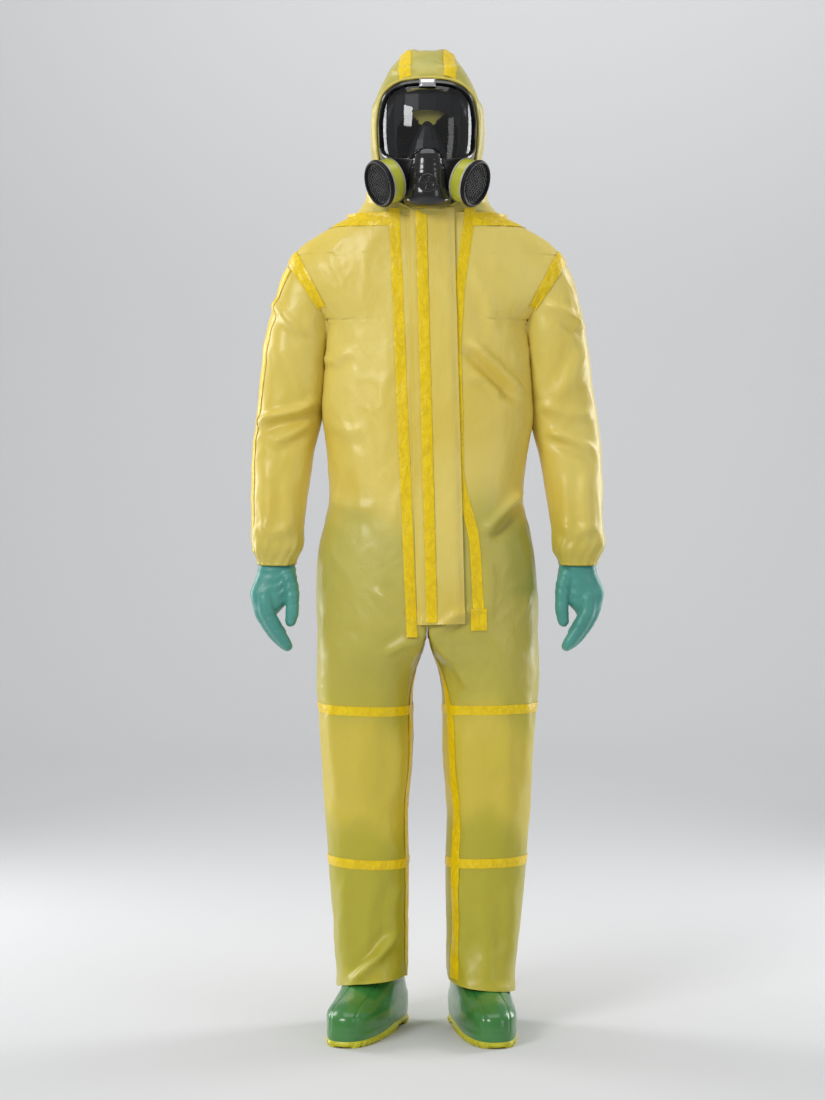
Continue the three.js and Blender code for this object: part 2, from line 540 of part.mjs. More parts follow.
const HOOD_Y = 12;
const hoodStation = (z, half, frontDepth, back, square = 2.5) => ({ y: HOOD_Y, z, half, front: frontDepth, back, square });
const hood = new Tube([
  hoodStation(NECK_Z + 1.5, 117, 96, 84),
  hoodStation(NECK_Z + 42, 114, 98, 89),
  hoodStation(NECK_Z + 81, 108, 100, 98),
  hoodStation(NECK_Z + 129, 106, 103, 108),
  hoodStation(NECK_Z + 187, 104, 108, 114),
  hoodStation(NECK_Z + 225, 97, 113, 112),
  hoodStation(NECK_Z + 260, 84, 112, 99),
  hoodStation(NECK_Z + 292, 64, 88, 76),
  hoodStation(NECK_Z + 312, 38, 52, 48, 2.2),
  hoodStation(NECK_Z + 320, 10, 14, 14, 2),
], 20);
const HOOD_SEAM_X = 36;

const MASK_EDGE = [[0, 248], [50, 243], [80, 222], [91, 182], [91, 135], [84, 88], [66, 47], [42, 23], [0, 16]];
const LENS_EDGE = [[0, 239], [46, 234], [72, 215], [82, 180], [82, 142], [75, 111], [50, 91], [0, 77]];
const FACE_EDGE = [[0, 192], [36, 186], [56, 160], [56, 120], [44, 76], [34, 50], [0, 42]];

function buildHood() {
  const opening = alongY(bothSides(MASK_EDGE, OPENING_MARGIN), -FAR, 0);
  const cover = (outer, inner) => hood.filled(outer)
    .subtract(hood.filledLonger(inner, 1, false)).subtract(opening);
  const shell = cover(0, -FABRIC);
  const middle = (gap) => block([-HOOD_SEAM_X + gap, -FAR, NECK_Z + 70], [HOOD_SEAM_X - gap, FAR, FAR]);
  const nape = block([-HOOD_SEAM_X + FIT / 2, 0, 0], [HOOD_SEAM_X - FIT / 2, FAR, FAR]);
  const centre = shell.intersect(middle(FIT / 2).add(nape));
  add('hood_centre', centre, YELLOW);
  const sides = shell.subtract(middle(-FIT / 2)).subtract(block([-HOOD_SEAM_X - FIT / 2, 0, 0], [HOOD_SEAM_X + FIT / 2, FAR, FAR]));
  const chin = FIT / 2;
  add('hood_side_left', sides.intersect(block([chin, -FAR, 0], [FAR, FAR, FAR])), YELLOW);
  add('hood_side_right', sides.intersect(block([-FAR, -FAR, 0], [-chin, FAR, FAR])), YELLOW);

  const skinLayer = cover(FIT + TAPE, FIT);
  const frontLow = block([-FAR, -FAR, 0], [FAR, -HOOD_Y, NECK_Z + 160]);
  const tapeAt = (x) => skinLayer.subtract(frontLow).intersect(
    block([x - TAPE_WIDTH / 2, -FAR, NECK_Z + NECK_TAPE], [x + TAPE_WIDTH / 2, FAR, FAR]));
  add('hood_seam_tape_left', tapeAt(HOOD_SEAM_X), TAPE_YELLOW);
  add('hood_seam_tape_right', tapeAt(-HOOD_SEAM_X), TAPE_YELLOW);

  // The face opening's elastic lies just outside the hood's edge.
  const edge = alongY(bothSides(MASK_EDGE, OPENING_MARGIN + 7), -FAR, 0)
    .subtract(alongY(bothSides(MASK_EDGE, OPENING_MARGIN), -FAR, 1));
  const band = hood.filled(-FABRIC - FIT).subtract(hood.filled(-FABRIC - FIT - 1.6)).intersect(edge)
    .intersect(betweenZ(NECK_Z + 9, FAR));
  add('face_elastic', band, cloth(0xd8c860));
}

// ---------------------------------------------------------------- mask

const maskStation = (z, half, depth, square = 2.3) => ({ y: MASK_Y, z, half, front: depth, back: 60, square });
const mask = new Tube([
  maskStation(NECK_Z + 10, 50, 60),
  maskStation(NECK_Z + 42, 64, 80),
  maskStation(NECK_Z + 82, 80, 90),
  maskStation(NECK_Z + 132, 90, 95),
  maskStation(NECK_Z + 182, 91, 94),
  maskStation(NECK_Z + 222, 89, 84),
  maskStation(NECK_Z + 254, 84, 66),
], 18);
const facing = (y) => block([-FAR, -FAR, 0], [FAR, y, FAR]);

const nose = new Tube([
  { y: -88, z: NECK_Z + 42, half: 30, front: 22, back: 34 },
  { y: -88, z: NECK_Z + 70, half: 38, front: 26, back: 40 },
  { y: -88, z: NECK_Z + 106, half: 38, front: 26, back: 40 },
  { y: -86, z: NECK_Z + 138, half: 28, front: 24, back: 34 },
  { y: -84, z: NECK_Z + 164, half: 15, front: 20, back: 26 },
  { y: -84, z: NECK_Z + 176, half: 7, front: 10, back: 14 },
], 14);

const port = new Tube([
  { y: -100, z: NECK_Z + 21, half: 26, front: 40, back: 30, square: 2.8 },
  { y: -100, z: NECK_Z + 36, half: 33, front: 52, back: 30, square: 2.8 },
  { y: -100, z: NECK_Z + 70, half: 34, front: 60, back: 30, square: 2.8 },
  { y: -100, z: NECK_Z + 100, half: 31, front: 57, back: 30, square: 2.8 },
  { y: -100, z: NECK_Z + 118, half: 22, front: 46, back: 30, square: 2.8 },
], 16);
const VALVE = new THREE.Vector3(0, -148, NECK_Z + 54);
const FORWARD = new THREE.Vector3(0, -1, 0);

function buildMask() {
  const layer = (outer, inner) => mask.filled(outer).subtract(mask.filledLonger(inner)).intersect(facing(MASK_Y));
  const whole = alongY(bothSides(MASK_EDGE), -FAR, FAR);
  const glass = alongY(bothSides(LENS_EDGE), -FAR, FAR);
  const seat = alongY(bothSides(LENS_EDGE, FIT), -FAR, FAR);
  add('visor_lens', layer(0, -LENS_WALL).intersect(glass), CLEAR);
  const frame = layer(RUBBER, -LENS_WALL - 1).intersect(whole).subtract(seat);

  // The seal is a second, inner skin with the face's opening in it.
  const faceHole = alongY(bothSides(FACE_EDGE), -FAR, FAR);
  const inner = -LENS_WALL - 12;
  add('face_seal', layer(inner, inner - RUBBER).intersect(whole).subtract(faceHole), BLACK_RUBBER);

  const portOuter = mask.filled(RUBBER + FIT);
  const pocket = turned([[0, 0], [19, 0], [19, 60], [0, 60]], FORWARD, VALVE);
  const chamber = port.filled(-3);
  const housing = port.filled(0).subtract(chamber).subtract(pocket).subtract(portOuter);
  add('port_housing', housing, BLACK_PLASTIC);

  // The exhalation valve: a disc on its seat under a slotted cover.
  add('exhalation_valve_disc', turned([[0, 0], [15, 0], [15, 1.2], [0, 1.2]], FORWARD,
    VALVE.clone().addScaledVector(FORWARD, 3)), BLACK_RUBBER);
  let cover = turned([[0, 8], [17.5, 8], [17.5, 14], [15, 16], [0, 16]], FORWARD, VALVE);
  for (const slot of [-8, 0, 8]) cover = cover.subtract(block([slot - 2, -FAR, VALVE.z - 10], [slot + 2, FAR, VALVE.z + 10]));
  add('exhalation_valve_cover', cover, BLACK_PLASTIC);

  add('nose_cup', nose.filled(0).subtract(nose.filled(-2.5)).intersect(facing(-76)).subtract(chamber), BLACK_RUBBER);
  return frame;
}

// A filter cartridge on its bayonet connector, on the wearer's left.
function buildCartridges(frame) {
  const at = (distance) => CARTRIDGE_SEAT.clone().addScaledVector(CARTRIDGE_AXIS, distance);
  const tubeLength = 22, bore = CONNECTOR_RADIUS - 3;
  const connector = turned([[bore, -12], [CONNECTOR_RADIUS, -12], [CONNECTOR_RADIUS, -2], [CONNECTOR_RADIUS + 5, -2],
    [CONNECTOR_RADIUS + 5, 0], [CONNECTOR_RADIUS, 0], [CONNECTOR_RADIUS, tubeLength - 12], [bore, tubeLength - 12], [bore, -12]],
    CARTRIDGE_AXIS, CARTRIDGE_SEAT);
  const room = turned([[0, -40], [CONNECTOR_RADIUS + FIT, -40], [CONNECTOR_RADIUS + FIT, 12], [0, 12]], CARTRIDGE_AXIS, CARTRIDGE_SEAT);
  const facepiece = frame.subtract(room).subtract(mirrored(room));
  add('facepiece', facepiece, BLACK_RUBBER);
  addPair('inlet_connector', connector.subtract(mask.filled(-LENS_WALL - 6)), BLACK_PLASTIC);

  const r = CARTRIDGE_RADIUS, socket = CONNECTOR_RADIUS + 0.6, depth = tubeLength - 12 + 1;
  addPair('cartridge_body', turned([[socket, 1], [r - 8, 1], [r, 7], [r, CARTRIDGE_LENGTH], [0, CARTRIDGE_LENGTH],
    [0, depth], [socket, depth], [socket, 1]], CARTRIDGE_AXIS, at(0), 24), SOLE_YELLOW);
  let grille = turned([[0, 0], [r + 1.5, 0], [r + 1.5, GRILLE_LENGTH - 2], [r - 1, GRILLE_LENGTH], [0, GRILLE_LENGTH]],
    CARTRIDGE_AXIS, at(CARTRIDGE_LENGTH + FIT), 24);
  addPair('cartridge_grille', grille, BLACK_PLASTIC);
}

// The head harness: a pad behind the head and a strap from each corner of the mask.
function buildHarness() {
  const padY = 78, padZ = NECK_Z + 160, wall = 3, width = 18;
  const pad = block([-30, padY, padZ - 26], [30, padY + wall, padZ + 26]);
  const neck = new THREE.Vector3(0, 0, NECK_Z);
  const strap = (from, to) => {
    const a = new THREE.Vector3(...from).add(neck), b = new THREE.Vector3(...to).add(neck);
    const along = b.clone().sub(a);
    const bar = new THREE.BoxGeometry(wall, width, along.length() + 8).translate(0, 0, along.length() / 2);
    const across = new THREE.Vector3(1, 0, 0).cross(along).lengthSq() > 1 ? new THREE.Vector3(1, 0, 0) : new THREE.Vector3(0, 1, 0);
    const z = along.clone().normalize();
    const y = new THREE.Vector3().crossVectors(z, across).normalize();
    const x = new THREE.Vector3().crossVectors(y, z);
    return solid(bar.applyMatrix4(new THREE.Matrix4().makeBasis(x, y, z).setPosition(a)));
  };
  const route = (points) => points.slice(1).reduce((sum, p, i) => sum.add(strap(points[i], p)), strap(points[0], points[1]));
  const temple = route([[83, -36, 186], [78, 26, 178], [22, 79.5, 170]]);
  const cheek = route([[76, -36, 104], [78, 26, 126], [22, 79.5, 148]]);
  const side = temple.add(cheek);
  const crown = route([[0, -78, 234], [0, -26, 262], [0, 40, 250], [0, 79.5, 178]]);
  add('head_harness', pad.add(side).add(mirrored(side)).add(crown), BLACK_RUBBER);
}

// ---------------------------------------------------------------- the whole suit

buildTrunk();
buildTrunkTapes();
buildLegs();
buildClosure();
buildSleeves();
buildGloves();
buildBoots();
buildHood();
buildCartridges(buildMask());
buildHarness();

// The origin goes under the middle of the suit's own box, front to back.
const extent = new THREE.Box3().setFromObject(suit);
suit.position.y = -(extent.min.y + extent.max.y) / 2;

export default suit;
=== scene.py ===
"""A taped chemical protective suit with hood, full-face mask, gauntlet gloves and boots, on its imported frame.

Every size below is in millimetres, in the suit's own frame before its front-to-back shift; `place` turns
points into metres. Left is the wearer's left, +X. The suit faces -Y.
"""

import itertools
import logging
import math
from dataclasses import dataclass, field
from enum import Enum
from typing import Callable, Iterable, Sequence

import bpy
import numpy as np
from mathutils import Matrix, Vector

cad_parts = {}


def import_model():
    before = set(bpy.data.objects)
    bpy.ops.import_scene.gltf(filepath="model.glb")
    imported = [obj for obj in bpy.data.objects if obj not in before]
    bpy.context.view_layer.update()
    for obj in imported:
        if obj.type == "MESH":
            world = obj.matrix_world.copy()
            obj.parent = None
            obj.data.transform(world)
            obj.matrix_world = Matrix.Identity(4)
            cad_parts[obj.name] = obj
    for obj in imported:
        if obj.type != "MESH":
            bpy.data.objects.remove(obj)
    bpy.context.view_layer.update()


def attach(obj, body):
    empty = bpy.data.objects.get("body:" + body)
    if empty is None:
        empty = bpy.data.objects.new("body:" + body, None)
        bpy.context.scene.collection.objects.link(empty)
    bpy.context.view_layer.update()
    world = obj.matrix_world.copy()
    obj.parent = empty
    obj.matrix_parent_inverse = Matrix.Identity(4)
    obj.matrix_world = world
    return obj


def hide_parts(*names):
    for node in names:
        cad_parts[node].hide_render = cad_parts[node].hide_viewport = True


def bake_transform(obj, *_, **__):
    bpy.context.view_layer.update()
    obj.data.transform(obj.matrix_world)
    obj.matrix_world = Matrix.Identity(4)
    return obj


LOG = logging.getLogger("suit")
Array = np.ndarray
Surface = Callable[[Array, Array], Array]

SHIFT_Y = 43.36
NECK_Z = 1530.0
CROTCH_Z = 746.0
SPLIT_Z = 768.0
COLLAR_Z = 1537.0
KNEE_TOP_Z = 610.0
KNEE_BOTTOM_Z = 321.0
HEM_Z = 88.0
CUFF_Z = 880.0
TAPE_HALF = 11.0


class Side(Enum):
    """The wearer's left or right, as the sign of X."""

    LEFT = 1
    RIGHT = -1

    @property
    def word(self) -> str:
        """The side's ending in piece names."""
        return self.name.lower()


class Face(Enum):
    """Which way the cloth under a fold looks."""

    FRONT = -1
    BACK = 1
    ROUND = 0


# ---------------------------------------------------------------- shape maths


def place(points: Array) -> Array:
    """Millimetres in the suit's frame to metres in the row frame: shifted along Y, then scaled.

    Args:
        points: Array whose last axis holds x, y, z in millimetres.

    Returns:
        The same points in metres.
    """
    return (points + np.array([0.0, SHIFT_Y, 0.0])) / 1000.0


def spot(x: float, y: float, z: float) -> tuple[float, float, float]:
    """One point of the suit's frame, in metres."""
    return (x / 1000.0, (y + SHIFT_Y) / 1000.0, z / 1000.0)


def smooth(value: Array | float, low: float = 0.0, high: float = 1.0) -> Array:
    """Cubic ease: 0 below `low`, 1 above `high`, 3t^2 - 2t^3 between them."""
    t = np.clip((np.asarray(value, float) - low) / (high - low), 0.0, 1.0)
    return t * t * (3.0 - 2.0 * t)


def signed_power(value: Array, power: Array | float) -> Array:
    """Sign of the value times its size raised to a power, which squares an oval off."""
    return np.sign(value) * np.abs(value) ** power


def unit(vectors: Array) -> Array:
    """Vectors scaled to length one."""
    return vectors / np.maximum(np.linalg.norm(vectors, axis=-1, keepdims=True), 1e-12)


class Grain:
    """Gradient noise: each unit cell's corners hold fixed directions, whose slopes blend by a quintic."""

    def __init__(self, seed: int) -> None:
        """Draws the fixed directions.

        Args:
            seed: Start of the random sequence, so that each run is the same.
        """
        draw = np.random.default_rng(seed)
        self.order = np.tile(draw.permutation(256), 3)
        self.slopes = unit(draw.normal(size=(256, 3)))

    def __call__(self, points: Array) -> Array:
        """Noise of about -0.7 to 0.7 at points given in cells."""
        cell = np.floor(points).astype(np.int64)
        inside = points - cell
        ease = inside**3 * (inside * (inside * 6 - 15) + 10)
        total = np.zeros(points.shape[:-1])
        for corner in itertools.product((0, 1), repeat=3):
            at = (cell + np.array(corner)) & 255
            pick = self.order[self.order[self.order[at[..., 0]] + at[..., 1]] + at[..., 2]] & 255
            slope = np.sum(self.slopes[pick] * (inside - np.array(corner)), axis=-1)
            weight = np.prod(np.where(np.array(corner) == 1, ease, 1 - ease), axis=-1)
            total += weight * slope
        return total


BROAD, CREASED, FINE, WARP = Grain(11), Grain(23), Grain(37), Grain(53)


@dataclass(frozen=True)
class Fold:
    """A ridge of cloth along a line in the XZ plane, with a valley on its right-hand side.

    The height falls off as exp(-(d/w)^2) across the line and eases to nothing at both ends.
    """

    path: tuple[tuple[float, float], ...]
    height: float
    width: float
    face: Face = Face.FRONT
    valley: float = 0.55

    def lift(self, points: Array, normals: Array) -> Array:
        """Height of the cloth at each point.

        Args:
            points: (..., 3) points on the undisturbed cloth.
            normals: (..., 3) outward directions there.

        Returns:
            (...,) heights in millimetres.
        """
        line = np.array(self.path, float)
        steps = np.diff(line, axis=0)
        lengths = np.linalg.norm(steps, axis=1)
        before = np.concatenate([[0.0], np.cumsum(lengths)])
        flat = points[..., [0, 2]]
        nearest = np.full(flat.shape[:-1], 1e9)
        beside = np.zeros_like(nearest)
        along = np.zeros_like(nearest)
        for start, step, length, done in zip(line, steps, lengths, before):
            offset = flat - start
            t = np.clip(offset @ step / length**2, 0.0, 1.0)
            gap = np.linalg.norm(offset - t[..., None] * step, axis=-1)
            turn = (offset[..., 0] * step[1] - offset[..., 1] * step[0]) / length
            closer = gap < nearest
            nearest = np.where(closer, gap, nearest)
            beside = np.where(closer, np.sign(turn) * gap, beside)
            along = np.where(closer, (done + t * length) / before[-1], along)
        ridge = np.exp(-((beside / self.width) ** 2))
        dip = np.exp(-(((beside - 1.7 * self.width) / (1.2 * self.width)) ** 2))
        ends = smooth(along, 0.0, 0.25) * smooth(1.0 - along, 0.0, 0.25)
        beyond = np.exp(-((np.maximum(nearest - np.abs(beside), 0.0) / self.width) ** 2))
        facing = 1.0 if self.face is Face.ROUND else smooth(normals[..., 1] * self.face.value, -0.1, 0.35)
        return self.height * (ridge - self.valley * dip) * ends * beyond * facing


@dataclass(frozen=True)
class Drape:
    """How cloth leaves its plain shape: named folds, broad swells, crumples and small creases."""

    folds: tuple[Fold, ...] = ()
    swell: float = 4.0
    crumple: float = 2.6
    crease: float = 0.5
    calm: Callable[[Array], Array] | None = None

    def lift(self, points: Array, normals: Array) -> Array:
        """Height of the cloth above its plain shape: swells + ridged crumples + fine creases + folds.

        Args:
            points: (..., 3) points on the plain shape.
            normals: (..., 3) outward directions there.

        Returns:
            (...,) heights in millimetres.
        """
        bent = points + 38.0 * np.stack(
            [WARP(points / 160.0), WARP(points / 160.0 + 31.7), WARP(points / 160.0 + 77.1)], axis=-1)
        swells = BROAD(bent / np.array([120.0, 120.0, 210.0]))
        ridges = np.maximum(0.0, 1.0 - 5.5 * np.abs(CREASED(bent / np.array([85.0, 85.0, 130.0])))) ** 1.5
        where = smooth(BROAD(points / 150.0 + 5.3), -0.25, 0.25)
        creases = np.maximum(0.0, 1.0 - 4.0 * np.abs(FINE(bent / np.array([30.0, 30.0, 44.0]))))
        height = self.swell * 1.6 * swells + self.crumple * (ridges - 0.25) * where + self.crease * creases
        if self.calm is not None:
            height = height * self.calm(points)
        for fold in self.folds:
            height = height + fold.lift(points, normals)
        return height


@dataclass(frozen=True)
class Stations:
    """A soft tube of oval sections: middle x, y, z, half width, front and back depth, squareness, tilt."""

    rows: tuple[tuple[float, ...], ...]

    def at(self, u: Array) -> Array:
        """Catmull-Rom curve through the rows.

        Args:
            u: Row numbers, whole or between rows.

        Returns:
            (..., 8) interpolated rows.
        """
        table = np.array(self.rows, float)
        u = np.clip(u, 0.0, len(table) - 1.0)
        i = np.minimum(u.astype(int), len(table) - 2)
        f = (u - i)[..., None]
        a, b, c, d = (table[np.clip(i + k, 0, len(table) - 1)] for k in (-1, 0, 1, 2))
        return b + 0.5 * f * (c - a + f * (2 * a - 5 * b + 4 * c - d + f * (3 * (b - c) + d - a)))

    def at_height(self, z: Array) -> Array:
        """Rows at given heights, found by inverting the curve's z on a fine table."""
        u = np.linspace(0.0, len(self.rows) - 1.0, 4000)
        heights = self.at(u)[:, 2]
        order = np.argsort(heights)
        return self.at(np.interp(z, heights[order], u[order]))

    def ring(self, u: Array, beta: Array, grow: float = 0.0) -> Array:
        """Points on the tube: angle 0 is the front, 90 degrees the wearer's outer side of a left limb."""
        row = self.at(u)
        power = 2.0 / row[..., 6]
        across = (row[..., 3] + grow) * signed_power(np.sin(beta), power)
        depth = np.where(np.cos(beta) > 0, row[..., 4] + grow, row[..., 5] + grow)
        out = -depth * signed_power(np.cos(beta), power)
        tilt = np.radians(row[..., 7])
        return np.stack([row[..., 0] + across * np.cos(tilt), row[..., 1] + out,
                         row[..., 2] + across * np.sin(tilt)], -1)


@dataclass
class Patch:
    """A grid of points with its outward directions and its named values, ready to become faces."""

    points: Array
    normals: Array
    keep: Array | None = None
    values: dict[str, Array] = field(default_factory=dict)

    @staticmethod
    def of(surface: Surface, a: Array, b: Array, drape: Drape | None = None,
           lift: Array | float = 0.0, crinkle: float = 0.0, flip: bool = False) -> "Patch":
        """Works a surface out on a grid of two parameters, and drapes it.

        The grid is run on by one step each way, so that the outward directions at its edges are those of
        the whole surface and neighbours meet without a shading line.

        Args:
            surface: Function of the two parameter grids that gives points.
            a: (rows, columns) first parameter.
            b: (rows, columns) second parameter.
            drape: Folds to lift the points by.
            lift: Further height above the cloth, one number or a grid.
            crinkle: Height of tight crinkles, as on a heat-sealed tape.
            flip: True where the grid's own order makes its directions point inwards.

        Returns:
            The patch.
        """
        wide_a = np.pad(a, 1, mode="reflect", reflect_type="odd")
        wide_b = np.pad(b, 1, mode="reflect", reflect_type="odd")
        wide_lift = np.pad(np.broadcast_to(np.asarray(lift, float), a.shape), 1, mode="edge")
        points = surface(wide_a, wide_b)
        sign = -1.0 if flip else 1.0
        normals = sign * Patch.directions(points)
        height = wide_lift.copy()
        if drape is not None:
            height = height + drape.lift(points, normals)
        if crinkle:
            tight = np.maximum(0.0, 1.0 - 3.0 * np.abs(FINE(points / np.array([17.0, 17.0, 26.0]) + 9.1)))
            height = height + crinkle * tight * smooth(BROAD(points / 90.0 + 3.0), -0.3, 0.3)
        points = points + normals * height[..., None]
        normals = sign * Patch.directions(points)
        return Patch(points[1:-1, 1:-1], normals[1:-1, 1:-1])

    @staticmethod
    def directions(points: Array) -> Array:
        """Outward directions of a grid: the cross product of its two slopes."""
        return unit(np.cross(np.gradient(points, axis=1), np.gradient(points, axis=0)))


def steps_between(low: Array | float, high: Array | float, count: int) -> Array:
    """Rows or columns of evenly spaced values between two ends, each a number or an array."""
    t = np.linspace(0.0, 1.0, count)
    return np.asarray(low)[..., None] + (np.asarray(high) - np.asarray(low))[..., None] * t


def make_piece(name: str, patches: Iterable[Patch], finish: bpy.types.Material,
               shade: bool = True) -> bpy.types.Object:
    """Joins patches into one mesh object at the origin.

    Args:
        name: The piece's name.
        patches: Grids whose outward directions are already right.
        finish: The material.
        shade: True to keep the patches' own directions for smooth shading.

    Returns:
        The new object, linked to the scene.
    """
    patches = list(patches)
    corners, normals, faces, base = [], [], [], 0
    names = sorted({key for patch in patches for key in patch.values})
    values: dict[str, list[Array]] = {key: [] for key in names}
    for patch in patches:
        rows, columns = patch.points.shape[:2]
        number = base + np.arange(rows * columns).reshape(rows, columns)
        quads = np.stack([number[:-1, :-1], number[:-1, 1:], number[1:, 1:], number[1:, :-1]], -1)
        right = np.cross(patch.points[:-1, 1:] - patch.points[:-1, :-1],
                         patch.points[1:, :-1] - patch.points[:-1, :-1])
        agree = np.sum(right * patch.normals[:-1, :-1]) >= 0
        quads = quads if agree else quads[..., ::-1]
        faces.append(quads[patch.keep] if patch.keep is not None else quads.reshape(-1, 4))
        corners.append(patch.points.reshape(-1, 3))
        normals.append(patch.normals.reshape(-1, 3))
        for key in names:
            values[key].append(patch.values.get(key, np.zeros((rows, columns))).reshape(-1))
        base += rows * columns
    points, outward, quads = place(np.concatenate(corners)), np.concatenate(normals), np.concatenate(faces)
    used, back = np.unique(quads, return_inverse=True)
    mesh = mesh_from(name, points[used], back.reshape(-1, 4))
    for key in names:
        mesh.attributes.new(key, "FLOAT", "POINT").data.foreach_set(
            "value", np.concatenate(values[key])[used].astype(np.float32))
    if shade:
        mesh.normals_split_custom_set_from_vertices(outward[used].tolist())
    mesh.materials.append(finish)
    piece = bpy.data.objects.new(name, mesh)
    bpy.context.scene.collection.objects.link(piece)
    return piece


def mesh_from(name: str, points: Array, faces: Array) -> bpy.types.Mesh:
    """A smooth-shaded mesh from arrays of points and of equal-sided faces."""
    mesh = bpy.data.meshes.new(name)
    sides = faces.shape[1]
    mesh.vertices.add(len(points))
    mesh.vertices.foreach_set("co", np.ascontiguousarray(points, np.float32).ravel())
    mesh.loops.add(faces.size)
    mesh.loops.foreach_set("vertex_index", np.ascontiguousarray(faces, np.int32).ravel())
    mesh.polygons.add(len(faces))
    mesh.polygons.foreach_set("loop_start", np.arange(0, faces.size, sides, dtype=np.int32))
    mesh.update(calc_edges=True)
    mesh.validate()
    mesh.polygons.foreach_set("use_smooth", np.ones(len(mesh.polygons), bool))
    mesh.update()
    return mesh


# ---------------------------------------------------------------- shader maths


class Wire:
    """A shader socket that can be used in sums: each operator adds one Math node."""

    def __init__(self, board: "Board", socket: bpy.types.NodeSocket) -> None:
        """Wraps an output socket of the board's tree."""
        self.board = board
        self.socket = socket

    def maths(self, operation: str, *others: "Wire | float", clamp: bool = False) -> "Wire":
        """Adds one Math node fed by this wire and the others."""
        node = self.board.node("ShaderNodeMath", {"operation": operation, "use_clamp": clamp},
                               dict(enumerate((self, *others))))
        return Wire(self.board, node.outputs[0])

    def __add__(self, other: "Wire | float") -> "Wire":
        """Sum."""
        return self.maths("ADD", other)

    __radd__ = __add__

    def __mul__(self, other: "Wire | float") -> "Wire":
        """Product."""
        return self.maths("MULTIPLY", other)

    __rmul__ = __mul__

    def __sub__(self, other: "Wire | float") -> "Wire":
        """Difference."""
        return self.maths("SUBTRACT", other)

    def __rsub__(self, other: float) -> "Wire":
        """A number less this wire."""
        return self.maths("MULTIPLY", -1.0) + other

    def __truediv__(self, other: "Wire | float") -> "Wire":
        """Quotient."""
        return self.maths("DIVIDE", other)

    def __pow__(self, other: float) -> "Wire":
        """Power."""
        return self.maths("POWER", other)

    def __abs__(self) -> "Wire":
        """Size without sign."""
        return self.maths("ABSOLUTE")

    def eased(self, low: float, high: float) -> "Wire":
        """0 below `low`, 1 above `high`, smooth between."""
        node = self.board.node("ShaderNodeMapRange", {"interpolation_type": "SMOOTHSTEP"},
                               {"Value": self, "From Min": low, "From Max": high, "To Min": 0.0,
                                "To Max": 1.0})
        return Wire(self.board, node.outputs["Result"])


class Board:
    """A material under construction."""

    def __init__(self, name: str) -> None:
        """Makes the material with one Principled shader wired to its output."""
        self.material = bpy.data.materials.new(name)
        self.material.use_nodes = True
        self.tree = self.material.node_tree
        self.tree.nodes.clear()
        self.output = self.tree.nodes.new("ShaderNodeOutputMaterial")
        self.shader = self.tree.nodes.new("ShaderNodeBsdfPrincipled")
        self.tree.links.new(self.shader.outputs[0], self.output.inputs[0])

    def node(self, kind: str, settings: dict | None = None, inputs: dict | None = None) -> bpy.types.Node:
        """Adds a node.

        Args:
            kind: The node's type.
            settings: Its properties.
            inputs: Socket name or number to a wire, a number or a tuple.

        Returns:
            The node.
        """
        node = self.tree.nodes.new(kind)
        for key, value in (settings or {}).items():
            setattr(node, key, value)
        for key, value in (inputs or {}).items():
            self.feed(node.inputs[key], value)
        return node

    def feed(self, socket: bpy.types.NodeSocket, value: "Wire | float | Sequence[float]") -> None:
        """Sets a socket, or links a wire to it."""
        if isinstance(value, Wire):
            self.tree.links.new(value.socket, socket)
        else:
            socket.default_value = value

    def set(self, **values: "Wire | float | Sequence[float]") -> None:
        """Feeds sockets of the Principled shader; underscores stand for spaces."""
        for key, value in values.items():
            self.feed(self.shader.inputs[key.replace("_", " ")], value)

    def place_wire(self) -> Wire:
        """The surface's own place, in metres."""
        return Wire(self, self.node("ShaderNodeTexCoord").outputs["Object"])

    def parts(self, vector: Wire) -> tuple[Wire, Wire, Wire]:
        """The three parts of a vector."""
        node = self.node("ShaderNodeSeparateXYZ", None, {0: vector})
        return tuple(Wire(self, node.outputs[k]) for k in range(3))

    def value(self, name: str) -> Wire:
        """A named value of the mesh's points."""
        return Wire(self, self.node("ShaderNodeAttribute", {"attribute_name": name}).outputs["Fac"])

    def noise(self, scale: float, detail: float = 3.0, roughness: float = 0.5,
              stretch: Sequence[float] = (1, 1, 1),
              distortion: float = 0.0) -> Wire:
        """Noise over the surface's place, 0 to 1, with its own stretch along x, y and z."""
        mapped = self.node("ShaderNodeMapping", None, {"Vector": self.place_wire(), "Scale": tuple(stretch)})
        node = self.node("ShaderNodeTexNoise", None, {
            "Vector": Wire(self, mapped.outputs[0]), "Scale": scale, "Detail": detail, "Roughness": roughness,
            "Distortion": distortion})
        return Wire(self, node.outputs[0])

    def mix(self, factor: "Wire | float", first: "Wire | Sequence[float]",
            second: "Wire | Sequence[float]") -> Wire:
        """Blends two colours."""
        node = self.node("ShaderNodeMix", {"data_type": "RGBA"})
        self.feed(node.inputs[0], factor)
        self.feed(node.inputs[6], first)
        self.feed(node.inputs[7], second)
        return Wire(self, node.outputs[2])

    def bump(self, height: Wire, distance: float, strength: float = 1.0) -> Wire:
        """Turns a height from 0 to 1 into a bent normal; `distance` is in metres."""
        node = self.node("ShaderNodeBump", None,
                         {"Height": height, "Distance": distance, "Strength": strength})
        return Wire(self, node.outputs[0])


def rgb(red: float, green: float, blue: float) -> tuple[float, float, float, float]:
    """A colour with full opacity."""
    return (red, green, blue, 1.0)


# ---------------------------------------------------------------- finishes


